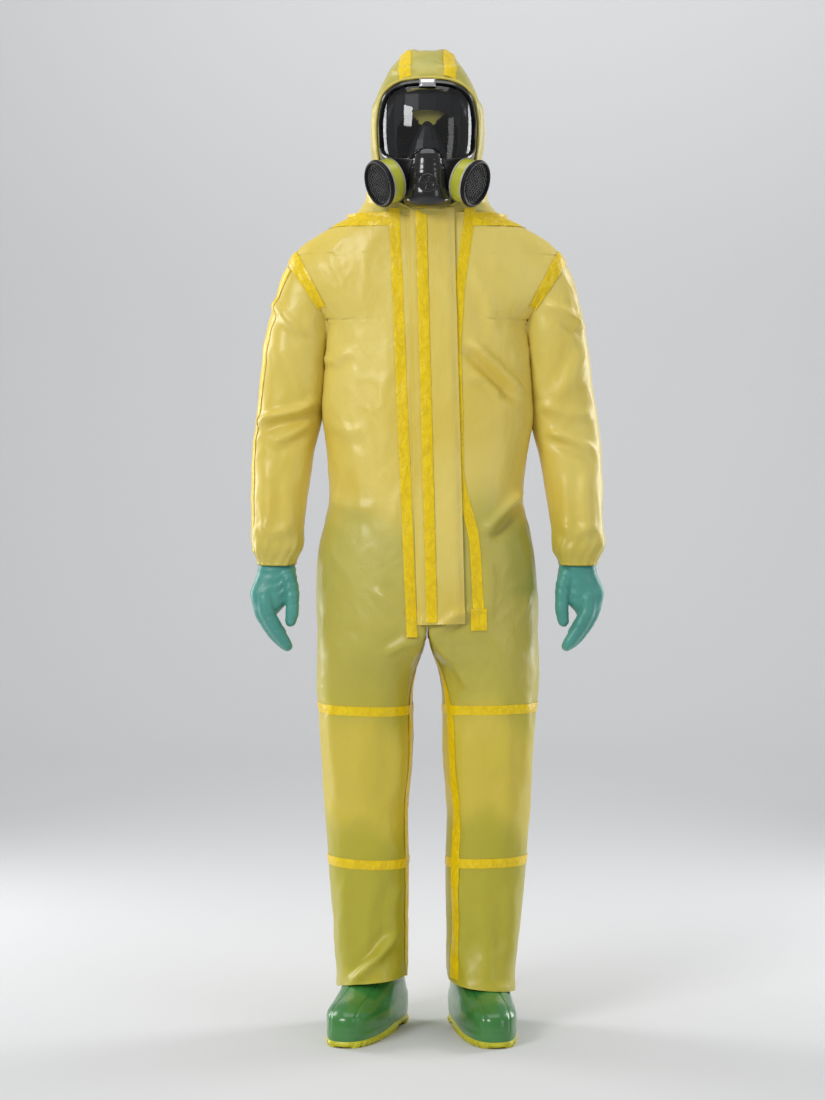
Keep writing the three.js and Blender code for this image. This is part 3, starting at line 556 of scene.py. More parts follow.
@dataclass(frozen=True)
class Laminate:
    """Yellow film on a soft backing: satin, faintly cloudy and wrinkled, darker where something dark shows
    through it and where the `under` value carries painted shade.
    """

    name: str = "laminate"
    light: tuple[float, ...] = rgb(0.86, 0.69, 0.165)
    deep: tuple[float, ...] = rgb(0.78, 0.585, 0.085)
    under: tuple[float, ...] = rgb(0.40, 0.385, 0.06)
    low: tuple[float, ...] = rgb(0.76, 0.60, 0.06)
    low_under: tuple[float, ...] = rgb(0.42, 0.395, 0.018)
    roughness: float = 0.41

    def material(self) -> bpy.types.Material:
        """Colour by cloudiness and the `under` value; roughness by grain; bump by wrinkles and dots."""
        board = Board(self.name)
        cloud = board.noise(5.0, 4.0, 0.55, (1, 1, 0.6), 0.6).eased(0.35, 0.7)
        streak = board.noise(60.0, 3.0, 0.6, (1, 1, 0.25))
        colour = board.mix(cloud, self.light, self.deep)
        # The `under` value darkens towards an olive tone: partly dark things seen through the film, partly
        # painted shade on the left waist and the sleeves' inner sides.
        under = board.value("under") * (0.82 + 0.36 * board.noise(11.0, 3.0, 0.6, (1, 1, 0.5)))
        height = board.parts(board.place_wire())[2].eased(0.5, 0.8)
        colour = board.mix(height, board.mix(cloud * 0.5, self.low, self.deep), colour)
        colour = board.mix(under, colour, board.mix(height, self.low_under, self.under))
        wrinkle = board.noise(38.0, 5.0, 0.62, (1, 1, 0.55), 1.1)
        grain = board.noise(900.0, 2.0, 0.5)
        board.set(Base_Color=colour, Roughness=self.roughness - 0.06 + 0.12 * streak, Coat_Weight=0.14,
                  Coat_Roughness=0.2, Specular_IOR_Level=0.5,
                  Normal=board.bump(wrinkle * 0.9 + grain * 0.05, 0.0028, 0.5))
        return board.material


@dataclass(frozen=True)
class SeamTape:
    """Heat-sealed tape: deeper yellow, glossy and tightly crinkled."""

    name: str = "seam_tape"
    light: tuple[float, ...] = rgb(0.97, 0.70, 0.002)
    deep: tuple[float, ...] = rgb(0.80, 0.55, 0.0)

    def material(self) -> bpy.types.Material:
        """Colour darker in the crinkles' hollows and lighter on their tops, as painted shade and painted
        highlight; gloss by a clear coat, bump by two sizes of crinkle.
        """
        board = Board(self.name)
        crinkle = board.noise(70.0, 5.0, 0.65, (1, 1, 0.6), 1.4)
        # Painted shade and painted highlight: the crinkle noise that drives the bump also darkens its hollows
        # and lightens its tops.
        colour = board.mix(crinkle.eased(0.3, 0.7), self.deep, self.light)
        board.set(Base_Color=colour, Roughness=0.32 + 0.14 * board.noise(30.0, 2.0), Coat_Weight=0.2,
                  Specular_IOR_Level=0.35, Coat_Roughness=0.1,
                  Normal=board.bump(crinkle + 0.3 * board.noise(210.0, 3.0), 0.0032, 0.55))
        return board.material


@dataclass(frozen=True)
class Rubber:
    """Moulded rubber with a satin skin: slight colour drift, fine pores and soft wrinkles."""

    name: str
    colour: tuple[float, ...]
    shade: tuple[float, ...]
    roughness: float = 0.45
    wrinkle: float = 0.0006
    coat: float = 0.0

    def material(self) -> bpy.types.Material:
        """Two colours mixed by broad noise, roughness by fine noise, bump by wrinkles and pores."""
        board = Board(self.name)
        drift = board.noise(14.0, 3.0, 0.55).eased(0.3, 0.7)
        rough = self.roughness - 0.05 + 0.1 * board.noise(90.0, 3.0)
        height = board.noise(55.0, 4.0, 0.6, (1, 1, 0.7), 0.8) + 0.15 * board.noise(1100.0, 2.0)
        board.set(Base_Color=board.mix(drift, self.colour, self.shade), Roughness=rough,
                  Coat_Weight=self.coat,
                  Coat_Roughness=0.07, Normal=board.bump(height, self.wrinkle, 0.6))
        return board.material


@dataclass(frozen=True)
class BootRubber:
    """Glossy green boot rubber with moulded ridge lines down the vamp and a line above the sole."""

    name: str
    side: Side
    middle_x: float = 97.0
    toe_out: float = 10.0
    colour: tuple[float, ...] = rgb(0.06, 0.27, 0.055)
    shade: tuple[float, ...] = rgb(0.04, 0.20, 0.04)

    def material(self) -> bpy.types.Material:
        """Bump of narrow ridges at fixed distances from the foot's middle line, over a soft sheen."""
        board = Board(self.name)
        mapping = board.node("ShaderNodeMapping", {"vector_type": "TEXTURE"}, {
            "Vector": board.place_wire(),
            "Location": spot(self.middle_x * self.side.value, 0.0, 0.0),
            "Rotation": (0.0, 0.0, math.radians(self.toe_out * self.side.value))})
        x, y, z = board.parts(Wire(board, mapping.outputs[0]))
        vamp = (y * -1.0).eased(0.03, 0.06) * z.eased(0.02, 0.03)
        drift = board.noise(9.0, 3.0, 0.5).eased(0.3, 0.7)
        height = self.line(abs(x), 0.043) * vamp * 0.4 + 0.16 * board.noise(46.0, 4.0)
        board.set(Base_Color=board.mix(drift, self.colour, self.shade),
                  Roughness=0.24 + 0.1 * board.noise(35.0, 3.0),
                  Coat_Weight=0.55, Coat_Roughness=0.1, Normal=board.bump(height, 0.0012, 0.9))
        return board.material

    @staticmethod
    def line(distance: Wire, centre: float, width: float = 0.0016) -> Wire:
        """A bell across a line: 1 / (1 + (d/w)^4)."""
        return ((abs(distance - centre) / width) ** 4.0 + 1.0) ** -1.0


@dataclass(frozen=True)
class Plastic:
    """Moulded plastic with fine spark-eroded grain."""

    name: str
    colour: tuple[float, ...]
    roughness: float = 0.3
    grain: float = 0.0001
    coat: float = 0.0
    gloss: float = 0.5

    def material(self) -> bpy.types.Material:
        """One colour with a little drift, fine grain in roughness and bump."""
        board = Board(self.name)
        drift = board.noise(40.0, 3.0)
        dark = rgb(*(0.82 * c for c in self.colour[:3]))
        board.set(Base_Color=board.mix(drift, self.colour, dark),
                  Roughness=self.roughness - 0.04 + 0.08 * board.noise(160.0),
                  Coat_Weight=self.coat, Coat_Roughness=0.05, Specular_IOR_Level=self.gloss,
                  Normal=board.bump(board.noise(1400.0, 2.0), self.grain, 0.6))
        return board.material


@dataclass(frozen=True)
class ClearLens:
    """Clear polycarbonate, as a thin sheet: mostly see-through, mirror-smooth, with a faint smoke."""

    name: str = "lens"
    opacity: float = 0.004

    def material(self) -> bpy.types.Material:
        """A mirror mixed with a transparent shader by how much a clear sheet reflects at each angle."""
        board = Board(self.name)
        board.set(Base_Color=rgb(0.93, 0.94, 0.95), Roughness=0.03, Metallic=1.0)
        clear = board.node("ShaderNodeBsdfTransparent", None, {"Color": rgb(0.80, 0.81, 0.83)})
        fresnel = Wire(board, board.node("ShaderNodeFresnel", None, {"IOR": 1.5}).outputs[0])
        mixer = board.node("ShaderNodeMixShader")
        board.feed(mixer.inputs[0], fresnel * 1.15 + self.opacity)
        board.tree.links.new(clear.outputs[0], mixer.inputs[1])
        board.tree.links.new(board.shader.outputs[0], mixer.inputs[2])
        board.tree.links.new(mixer.outputs[0], board.output.inputs[0])
        return board.material


@dataclass(frozen=True)
class Knit:
    """Elastic webbing: fine ribs across a matt band."""

    name: str = "elastic"
    colour: tuple[float, ...] = rgb(0.68, 0.58, 0.3)

    def material(self) -> bpy.types.Material:
        """Ribs from a wave over height, colour by noise."""
        board = Board(self.name)
        wave = board.node("ShaderNodeTexWave", {"bands_direction": "Z"},
                          {"Vector": board.place_wire(), "Scale": 140.0})
        board.set(Base_Color=board.mix(board.noise(300.0), self.colour, rgb(0.5, 0.42, 0.2)), Roughness=0.85,
                  Normal=board.bump(Wire(board, wave.outputs["Fac"]), 0.0004, 0.7))
        return board.material


class Finishes:
    """Each finish, made once."""

    def __init__(self) -> None:
        """Builds every material of the suit."""
        self.laminate = Laminate().material()
        self.tape = SeamTape().material()
        self.glove = Rubber("glove_rubber", rgb(0.085, 0.36, 0.30), rgb(0.065, 0.29, 0.245), 0.42, 0.0011,
                            0.08).material()
        self.black_rubber = Rubber("mask_rubber", rgb(0.012, 0.012, 0.013), rgb(0.02, 0.02, 0.021), 0.42,
                                   0.0002).material()
        self.shiny_rubber = Rubber("skirt_rubber", rgb(0.008, 0.008, 0.009), rgb(0.014, 0.014, 0.015), 0.16,
                                   0.0002, 0.6).material()
        self.black_plastic = Plastic("mask_plastic", rgb(0.010, 0.010, 0.011), 0.2, 0.00005, 0.5).material()
        self.grille = Plastic("grille_plastic", rgb(0.003, 0.003, 0.004), 0.42, gloss=0.28).material()
        self.filter_body = Plastic("filter_band", rgb(0.50, 0.52, 0.035), 0.25, 0.00005, 0.3).material()
        self.filter_rim = Plastic("filter_rim", rgb(0.50, 0.50, 0.42), 0.3, 0.00005, 0.3).material()
        self.lens = ClearLens().material()
        self.sole = Rubber("sole_rubber", rgb(0.72, 0.68, 0.03), rgb(0.6, 0.55, 0.02), 0.45, 0.0003,
                           0.1).material()
        self.elastic = Knit().material()
        self.steel = self.metal()
        self.boots = {side: BootRubber("boot_rubber_" + side.word, side).material() for side in Side}

    @staticmethod
    def metal() -> bpy.types.Material:
        """Brushed steel for buckles and the clip over the lens."""
        board = Board("buckle_steel")
        board.set(Base_Color=rgb(0.62, 0.62, 0.63), Metallic=1.0,
                  Roughness=0.22 + 0.2 * board.noise(400.0, 2.0, 0.5, (0.1, 1, 1)))
        return board.material


# ---------------------------------------------------------------- the suit's plain shapes


def ramp(value: Array, low: float, high: float, first: float, last: float) -> Array:
    """Straight line from `first` at `low` to `last` at `high`, run on beyond both."""
    return first + (value - low) / (high - low) * (last - first)


def front_depth(z: Array) -> Array:
    """The trunk's depth before its middle line: a straight slope from crotch to neck."""
    return ramp(z, CROTCH_Z, NECK_Z, 136.0, 93.0)


def trunk_rows() -> Stations:
    """The trunk's sections from the crotch to the neck."""
    table = ((746, 207, 122, 2.6), (820, 209, 124, 2.5), (900, 205, 120, 2.5), (960, 193, 115, 2.4),
             (1016, 184, 111, 2.4), (1086, 190, 112, 2.4), (1160, 199, 115, 2.4), (1220, 197, 118, 2.4),
             (1300, 193, 122, 2.4), (1340, 196, 120, 2.4), (1392, 262, 112, 2.2), (1430, 276, 103, 2.1),
             (1456, 258, 97, 2.1), (1484, 231, 92, 2.2), (1508, 194, 90, 2.3), (1530, 150, 90, 2.4))
    return Stations(tuple((0.0, 0.0, z, half, float(front_depth(np.float64(z))), back, square, 0.0)
                          for z, half, back, square in table))


def leg_rows() -> Stations:
    """The left leg's sections from the hem up."""
    table = ((103, 88, 66, 124, 92, 2.3), (103, 112, 66, 110, 91, 2.3), (106.5, 188.2, 70, 90, 91, 2.3),
             (111, 321, 76.5, 87, 94, 2.3), (116, 417, 79, 90, 96, 2.3), (115.5, 512.9, 85, 95, 99, 2.3),
             (118, 610, 89, 100, 103, 2.3), (117, 660.3, 93, 106, 106, 2.3),
             (107.5, 722.9, 101, 123, 115, 2.5),
             (104, 776, 103, 133, 121, 2.9))
    return Stations(tuple((x, 0.0, z, half, front, back, square, 0.0) for x, z, half, front, back,
                          square in table))


TRUNK = trunk_rows()
LEG = leg_rows()
SLEEVE = Stations((
    (219, 4, 1396, 66, 78, 78, 2.3, 62), (233, 8, 1352, 63, 74, 72, 2.3, 42),
    (246, 12, 1290, 61, 68, 66, 2.3, 20),
    (252, 15, 1220, 61, 64, 62, 2.3, 9), (260, 18, 1150, 60.5, 62, 60, 2.3, 6),
    (271, 12, 1086, 57, 59, 58, 2.3, 6),
    (280, 0, 1000, 53, 54, 53, 2.3, 4), (283.5, -9, 940, 49.5, 49, 49, 2.3, 2),
    (284, -18, 880, 45.5, 45, 45, 2.3, 0)))


def on_trunk(z: Array, beta: Array) -> Array:
    """Trunk points: an oval at each height, by angle from the front towards the wearer's left."""
    row = TRUNK.at_height(z)
    power = 2.0 / row[..., 6]
    depth = np.where(np.cos(beta) > 0, row[..., 4], row[..., 5])
    return np.stack([row[..., 3] * signed_power(np.sin(beta), power),
                     -depth * signed_power(np.cos(beta), power),
                     np.asarray(z, float) + 0.0 * beta], -1)


def beta_at(z: Array, x: Array) -> Array:
    """The angle at which the front of the trunk reaches a given x: arcsine of |x / half| to the n/2."""
    row = TRUNK.at_height(z)
    return np.sign(x) * np.arcsin(np.clip(np.abs(x) / row[..., 3], 0.0, 1.0) ** (row[..., 6] / 2.0))


def side_beta(z: Array) -> Array:
    """The angle of the side seam, which runs 8 mm behind the middle."""
    row = TRUNK.at_height(z)
    return np.pi / 2 + np.arcsin((8.0 / row[..., 5]) ** (row[..., 6] / 2.0))


def cut_x(z: Array) -> Array:
    """Where the armhole's plane stands at a height."""
    return 219.0 + (z - 1396.0) * 0.5317


ARMPIT_Z = 1338.0


def front_end(z: Array) -> Array:
    """The angle at which a front panel ends: the armhole above the armpit, the side seam elsewhere."""
    edge = beta_at(z, cut_x(z))
    reach = cut_x(z) < TRUNK.at_height(z)[..., 3] - 0.01
    return np.where((z >= ARMPIT_Z) & reach, edge, side_beta(z))


def back_end(z: Array) -> Array:
    """The angle at which the back panel starts on the wearer's left."""
    reach = cut_x(z) < TRUNK.at_height(z)[..., 3] - 0.01
    return np.where((z >= ARMPIT_Z) & reach, np.pi - beta_at(z, cut_x(z)), side_beta(z))


def inside_trunk(points: Array) -> Array:
    """True where points lie inside the trunk's oval at their height."""
    row = TRUNK.at_height(points[..., 2])
    depth = np.where(points[..., 1] < 0, row[..., 4], row[..., 5])
    power = row[..., 6]
    oval = np.abs(points[..., 0] / row[..., 3]) ** power + np.abs(points[..., 1] / depth) ** power
    return (oval < 1.0) & (points[..., 2] < NECK_Z)


def reach(start: Array, direction: Array, inside: Callable[[Array], Array], far: float) -> Array:
    """How far a ray goes before it leaves a shape, by halving the doubt 26 times."""
    low = np.zeros(np.broadcast_shapes(start.shape, direction.shape)[:-1])
    high = low + far
    for _ in range(26):
        middle = (low + high) / 2
        within = inside(start + direction * middle[..., None])
        low, high = np.where(within, middle, low), np.where(within, high, middle)
    return low


ARMHOLE_OUT = np.array([math.sin(math.radians(62)), 0.0, -math.cos(math.radians(62))])
ARMHOLE_UP = np.array([math.cos(math.radians(62)), 0.0, math.sin(math.radians(62))])
ARMHOLE_MIDDLE = np.array([219.0, 4.0, 1396.0])


def armhole_ring(shift: Array, beta: Array) -> Array:
    """The trunk cut by the armhole's plane, moved along its direction: a ray to the skin at each angle.

    Args:
        shift: Millimetres that the plane moves out along the sleeve, negative on the trunk.
        beta: Angle round the ring, 0 in front and 90 degrees on the shoulder.

    Returns:
        (..., 3) points.
    """
    power = 2.0 / 2.3
    across = 66.0 * signed_power(np.sin(beta), power)
    out = -78.0 * signed_power(np.cos(beta), power)
    ray = unit(across[..., None] * ARMHOLE_UP + out[..., None] * np.array([0.0, 1.0, 0.0]))
    start = ARMHOLE_MIDDLE + np.asarray(shift)[..., None] * ARMHOLE_OUT
    far = reach(start, ray, inside_trunk, 130.0)
    own = np.hypot(across, out)
    return start + ray * np.minimum(far, own * 1.25)[..., None]


class SleeveLine:
    """Distances along the sleeve's middle line, so that its rows can be spaced in millimetres."""

    def __init__(self) -> None:
        """Sums the middle line's length on a fine table."""
        self.u = np.linspace(0.0, len(SLEEVE.rows) - 1.0, 3000)
        middle = SLEEVE.at(self.u)[:, :3]
        self.s = np.concatenate([[0.0], np.cumsum(np.linalg.norm(np.diff(middle, axis=0), axis=1))])
        self.z = middle[:, 2]

    def u_at(self, s: Array) -> Array:
        """Row number at a distance from the armhole, run on straight before the armhole."""
        return np.where(s >= 0, np.interp(s, self.s, self.u), 0.0)

    def s_at_height(self, z: float) -> float:
        """Distance from the armhole at which the middle line is at a height."""
        return float(np.interp(-z, -self.z, self.s))


SLEEVE_LINE = SleeveLine()


def on_sleeve(s: Array, beta: Array) -> Array:
    """Left sleeve points; the first 70 mm ease from the armhole's own curve to the sleeve's oval."""
    points = SLEEVE.ring(SLEEVE_LINE.u_at(s), beta)
    first = SLEEVE.ring(np.zeros_like(beta), beta)
    ring = armhole_ring(np.zeros_like(beta), beta)
    points = points + (ring - first) * (1.0 - smooth(s, 0.0, 70.0))[..., None]
    return points + np.where(s < 0, s, 0.0)[..., None] * ARMHOLE_OUT


def leg_reach(z: Array, beta: Array) -> tuple[Array, Array]:
    """The left leg's middle x and its reach at each angle.

    Below the thigh it is an oval's own reach, (|sin/a|^n + |cos/d|^n)^(-1/n). Up to the crotch it eases to
    half of the trunk: the nearer of the trunk's oval and a wall beside the middle plane.
    """
    row = LEG.at_height(z)
    across, forward = np.sin(beta), np.cos(beta)
    depth = np.where(forward > 0, row[..., 4], row[..., 5])
    oval = (np.abs(across / row[..., 3]) ** row[..., 6] + np.abs(forward / depth) ** row[...,
        6]) ** (-1.0 / row[..., 6])
    high = z > 670.0
    if not np.any(high):
        return row[..., 0], oval
    centre = np.stack([row[..., 0], 0.0 * z, np.maximum(z, SPLIT_Z)], -1)
    ray = np.stack([across, -forward, 0.0 * z], -1)
    trunk = reach(centre, ray, inside_trunk, 320.0)
    wall = np.where(across < -1e-3, (row[..., 0] - 1.5) / np.maximum(-across, 1e-3), 1e4)
    near = np.maximum(10.0 - np.abs(trunk - wall), 0.0) / 10.0
    half = np.minimum(trunk, wall) - near * near * 2.5
    mix = smooth(z, 684.0, SPLIT_Z)
    return row[..., 0], oval * (1 - mix) + half * mix


def on_leg(z: Array, beta: Array) -> Array:
    """Left leg points: angle 0 is the front, 90 degrees the outer side."""
    middle, far = leg_reach(z, beta)
    return np.stack([middle + far * np.sin(beta), -far * np.cos(beta), np.asarray(z, float) + 0.0 * beta], -1)


def leg_seam_beta(z: Array) -> tuple[Array, Array]:
    """Angles of the leg's inner and outer seams, 8 mm behind the middle."""
    quarter = np.full(np.shape(z), np.pi / 2)
    _, inner = leg_reach(z, -quarter)
    _, outer = leg_reach(z, quarter)
    return -(quarter + np.arcsin(np.clip(8.0 / inner, 0, 1))), quarter + np.arcsin(np.clip(8.0 / outer, 0, 1))


def sided(surface: Surface, side: Side) -> Surface:
    """The same surface on the given side of the wearer."""
    turn = np.array([side.value, 1.0, 1.0])
    return lambda a, b: surface(a, b) * turn


def seam_x(z: Array, *line: float | tuple[float, float]) -> Array:
    """A seam line's x at a height: straight from its bottom x to its top x, or through (height, x) pairs."""
    if isinstance(line[0], tuple):
        table = np.array(line)
        spread = np.array([-24.0, -12.0, 0.0, 12.0, 24.0])
        return np.mean([np.interp(np.asarray(z) + shift, table[:, 0], table[:, 1]) for shift in spread],
                       axis=0)
    return ramp(z, CROTCH_Z, NECK_Z, *line)


RIGHT_SEAM = (-28.0, -61.0)
LEFT_SEAM = ((746.0, 97.0), (830.0, 93.0), (900.0, 89.0), (940.0, 86.0), (985.0, 73.0), (1040.0, 58.0),
             (1300.0, 53.0),
             (1400.0, 60.0), (1470.0, 70.0), (1530.0, 79.0))
ZIP_SEAM = (42.0, 21.0)


def spaced_heights(low: float, high: float, gap: float) -> Array:
    """Heights whose spacing follows the skin: closer where the shoulders slope."""
    z = np.linspace(low, high, 2000)
    half = TRUNK.at_height(z)[:, 3]
    length = np.concatenate([[0.0], np.cumsum(np.hypot(np.diff(z), np.diff(half) * 0.8))])
    return np.interp(np.linspace(0.0, length[-1], int(length[-1] / gap) + 2), length, z)


# ---------------------------------------------------------------- how the cloth hangs


def calm_suit(points: Array) -> Array:
    """Quiet cloth near the neck seam, the armholes and the zip, where it is held; 1 elsewhere."""
    x, y, z = points[..., 0], points[..., 1], points[..., 2]
    neck = 0.10 + 0.90 * smooth(NECK_Z - z, 0.0, 46.0)
    out = np.abs((np.abs(x) - 219.0) * ARMHOLE_OUT[0] + (z - 1396.0) * ARMHOLE_OUT[2])
    arm = np.where(z > 1290.0, 0.12 + 0.88 * smooth(out, 6.0, 42.0), 1.0)
    line = seam_x(z, *ZIP_SEAM)
    zip_zone = np.where((y < 0) & (z > 740.0), 0.22 + 0.78 * smooth(np.abs(x - line), 46.0, 78.0), 1.0)
    return neck * arm * zip_zone


SUIT_FOLDS = (
    Fold(((70, 1304), (125, 1254), (186, 1192)), 17.0, 9.5, valley=0.8),
    Fold(((76, 1238), (108, 1224), (146, 1190)), 6.0, 8.0),
    Fold(((80, 1440), (112, 1380), (128, 1300)), 4.0, 12.0),
    Fold(((100, 935), (140, 980), (188, 1026)), 12.0, 10.0, valley=0.8),
    Fold(((112, 905), (116, 840), (112, 770)), 3.5, 12.0),
    Fold(((-206, 1268), (-170, 1262), (-138, 1282)), 5.0, 9.0),
    Fold(((-190, 1150), (-150, 1128), (-110, 1132)), 3.5, 12.0),
    Fold(((-190, 1012), (-150, 990), (-90, 985)), 4.5, 14.0),
    Fold(((-66, 1330), (-84, 1180), (-78, 1060)), 3.5, 18.0),
    Fold(((-8, 762), (-46, 800), (-104, 842)), 7.0, 10.0),
    Fold(((-6, 742), (-40, 742), (-84, 716)), 6.0, 9.0),
    Fold(((10, 756), (52, 790), (110, 806)), 6.0, 10.0),
    Fold(((12, 732), (50, 700), (84, 640)), 5.0, 10.0),
    Fold(((-60, 600), (-54, 520), (-62, 430)), 4.0, 13.0),
    Fold(((-180, 640), (-176, 520), (-168, 420)), 5.0, 14.0),
    Fold(((-120, 590), (-128, 480), (-118, 380)), 3.0, 22.0),
    Fold(((150, 600), (158, 500), (146, 360)), 4.0, 18.0),
    Fold(((70, 590), (66, 470), (72, 360)), 3.5, 16.0),
    Fold(((180, 660), (190, 560), (186, 440)), 4.0, 12.0),
    Fold(((-54, 196), (-92, 148), (-148, 94)), 12.0, 10.0),
    Fold(((-50, 290), (-66, 240), (-60, 170)), 4.0, 12.0),
    Fold(((-160, 300), (-152, 220), (-156, 150)), 4.0, 14.0),
    Fold(((58, 300), (66, 220), (60, 130)), 5.0, 12.0),
    Fold(((150, 300), (158, 210), (150, 120)), 5.0, 13.0),
    Fold(((100, 250), (112, 180), (104, 110)), 3.0, 18.0),
    Fold(((-180, 1240), (-90, 1215), (40, 1225), (180, 1205)), 5.0, 18.0, Face.BACK),
    Fold(((-180, 1080), (-60, 1045), (80, 1060), (185, 1030)), 6.0, 18.0, Face.BACK),
    Fold(((-190, 980), (-60, 965), (90, 985), (195, 960)), 5.0, 17.0, Face.BACK),
    Fold(((-150, 820), (-90, 760), (-40, 700)), 8.0, 13.0, Face.BACK),
    Fold(((150, 820), (90, 760), (40, 700)), 8.0, 13.0, Face.BACK),
    Fold(((-190, 500), (-120, 470), (-40, 492)), 5.0, 13.0, Face.BACK),
    Fold(((-190, 440), (-120, 452), (-40, 428)), 4.5, 12.0, Face.BACK),
    Fold(((40, 500), (120, 472), (190, 494)), 5.0, 13.0, Face.BACK),
    Fold(((40, 440), (120, 450), (190, 426)), 4.5, 12.0, Face.BACK),
    Fold(((-170, 200), (-110, 170), (-46, 190)), 7.0, 12.0, Face.BACK),
    Fold(((46, 180), (110, 160), (170, 184)), 7.0, 12.0, Face.BACK),
)
SUIT_DRAPE = Drape(SUIT_FOLDS, 4.2, 2.3, 0.7, calm_suit)


def calm_sleeve(points: Array) -> Array:
    """Quiet cloth at the armhole."""
    out = np.abs((np.abs(points[..., 0]) - 219.0) * ARMHOLE_OUT[0] + (points[...,
        2] - 1396.0) * ARMHOLE_OUT[2])
    return np.where(points[..., 2] > 1290.0, 0.12 + 0.88 * smooth(out, 6.0, 42.0), 1.0)


SLEEVE_FOLDS = {
    Side.RIGHT: (
        Fold(((-300, 1385), (-262, 1340), (-222, 1300)), 7.0, 10.0),
        Fold(((-300, 1300), (-262, 1262), (-225, 1180)), 4.0, 16.0),
        Fold(((-326, 1140), (-290, 1158), (-240, 1170), (-200, 1196)), 13.0, 9.0),
        Fold(((-300, 1105), (-262, 1120), (-212, 1150)), 6.0, 9.0),
        Fold(((-300, 1080), (-296, 1010), (-300, 930)), 4.0, 15.0),
        Fold(((-262, 1060), (-258, 980), (-266, 920)), 3.5, 14.0),
        Fold(((-320, 960), (-290, 940), (-250, 952)), 4.0, 10.0)),
    Side.LEFT: (
        Fold(((216, 1372), (258, 1352), (306, 1318)), 9.0, 9.0),
        Fold(((300, 1300), (270, 1230), (232, 1180)), 5.0, 16.0),
        Fold(((204, 1186), (262, 1164), (318, 1160)), 6.0, 10.0),
        Fold(((220, 1132), (268, 1116), (326, 1088)), 10.0, 9.0),
        Fold(((300, 1070), (296, 1000), (306, 930)), 5.0, 14.0),
        Fold(((262, 1060), (264, 990), (258, 920)), 4.0, 14.0),
        Fold(((246, 958), (280, 940), (322, 956)), 4.0, 10.0)),
}


def shade_value(patch: Patch, value: Array | float) -> Patch:
    """Sets how strongly the cloth is darkened: by dark things under it showing through, and in places by
    painted shade.
    """
    patch.values["under"] = np.broadcast_to(np.asarray(value, float), patch.points.shape[:2]).copy()
    return patch


def suit_under(points: Array) -> Array:
    """Where the suit's cloth lies on dark clothing below it (hips and thighs, and the boots inside the shins),
    plus painted shade under the hip fold on the wearer's left waist.

    The knees and the chest stand clear and stay bright.
    """
    x, z = points[..., 0], points[..., 2]
    wave = 22.0 * np.sin(x / 47.0) + 14.0 * np.sin(x / 19.0 + 1.3)
    hips = smooth(z, 1040.0 + wave, 940.0 + wave)
    knees = smooth(z, 640.0 + wave, 560.0 + wave) * smooth(z, 370.0 + wave, 430.0 + wave)
    shins = smooth(z, 400.0 + wave, 330.0 + wave)
    hem = smooth(z, 90.0, 150.0)
    # Painted shade: a darker patch on the wearer's left waist, under the hip fold.
    dark = 0.45 * smooth(x, 120.0, 190.0) * smooth(z, 1010.0, 940.0) * smooth(z, 800.0, 850.0)
    return np.clip(0.05 + dark + 0.62 * hips * (1 - 0.72 * knees) + 0.12 * shins * hem, 0.0, 1.0)


def turned_in(patch: Patch, edge: str, rows: int, gap: float) -> Patch:
    """The cloth's inner face along one edge, so that an open end shows a wall.

    Args:
        patch: The outer face.
        edge: first or last row, or left or right column.
        rows: How many of the outer face's rows it repeats.
        gap: The wall's thickness in millimetres.

    Returns:
        A patch that starts on the edge itself and goes back along the inside.
    """
    grid = {"first": lambda g: g[:rows], "last": lambda g: g[::-1][:rows],
            "left": lambda g: np.swapaxes(g, 0, 1)[:rows],
            "right": lambda g: np.swapaxes(g, 0, 1)[::-1][:rows]}[edge]
    points, normals = grid(patch.points), grid(patch.normals)
    inner = points - normals * gap
    rim = unit(points[:1] - points[1:2])
    values = {key: np.concatenate([grid(value)[:1], grid(value)]) for key, value in patch.values.items()}
    return Patch(np.concatenate([points[:1], inner]), np.concatenate([rim, -normals]), None, values)


def strip(surface: Surface, along: Array, across: Array, drape: Drape, sense: float = 1.0,
          edge: float = 0.5, middle: float = 1.1, crinkle: float = 0.9) -> Patch:
    """A tape on the cloth: thin at its edges, thicker over the seam, crinkled.

    Args:
        surface: The cloth's plain shape over the two grids.
        along: (rows, columns) first parameter.
        across: (rows, columns) second parameter; the columns run across the tape.
        drape: The cloth's own folds, so that the tape lies on it.
        sense: -1 where the grids' order makes directions point inwards.
        edge: Height of the edges above the cloth.
        middle: Height over the seam.
        crinkle: Height of the crinkles.

    Returns:
        The tape's outer face.
    """
    t = np.abs(np.linspace(-1.0, 1.0, along.shape[1]))
    lift = np.broadcast_to(edge + (middle - edge) * smooth(t, 1.0, 0.75), along.shape)
    return Patch.of(surface, along, across, drape, lift, crinkle, flip=sense < 0)


# ---------------------------------------------------------------- the suit's body and legs


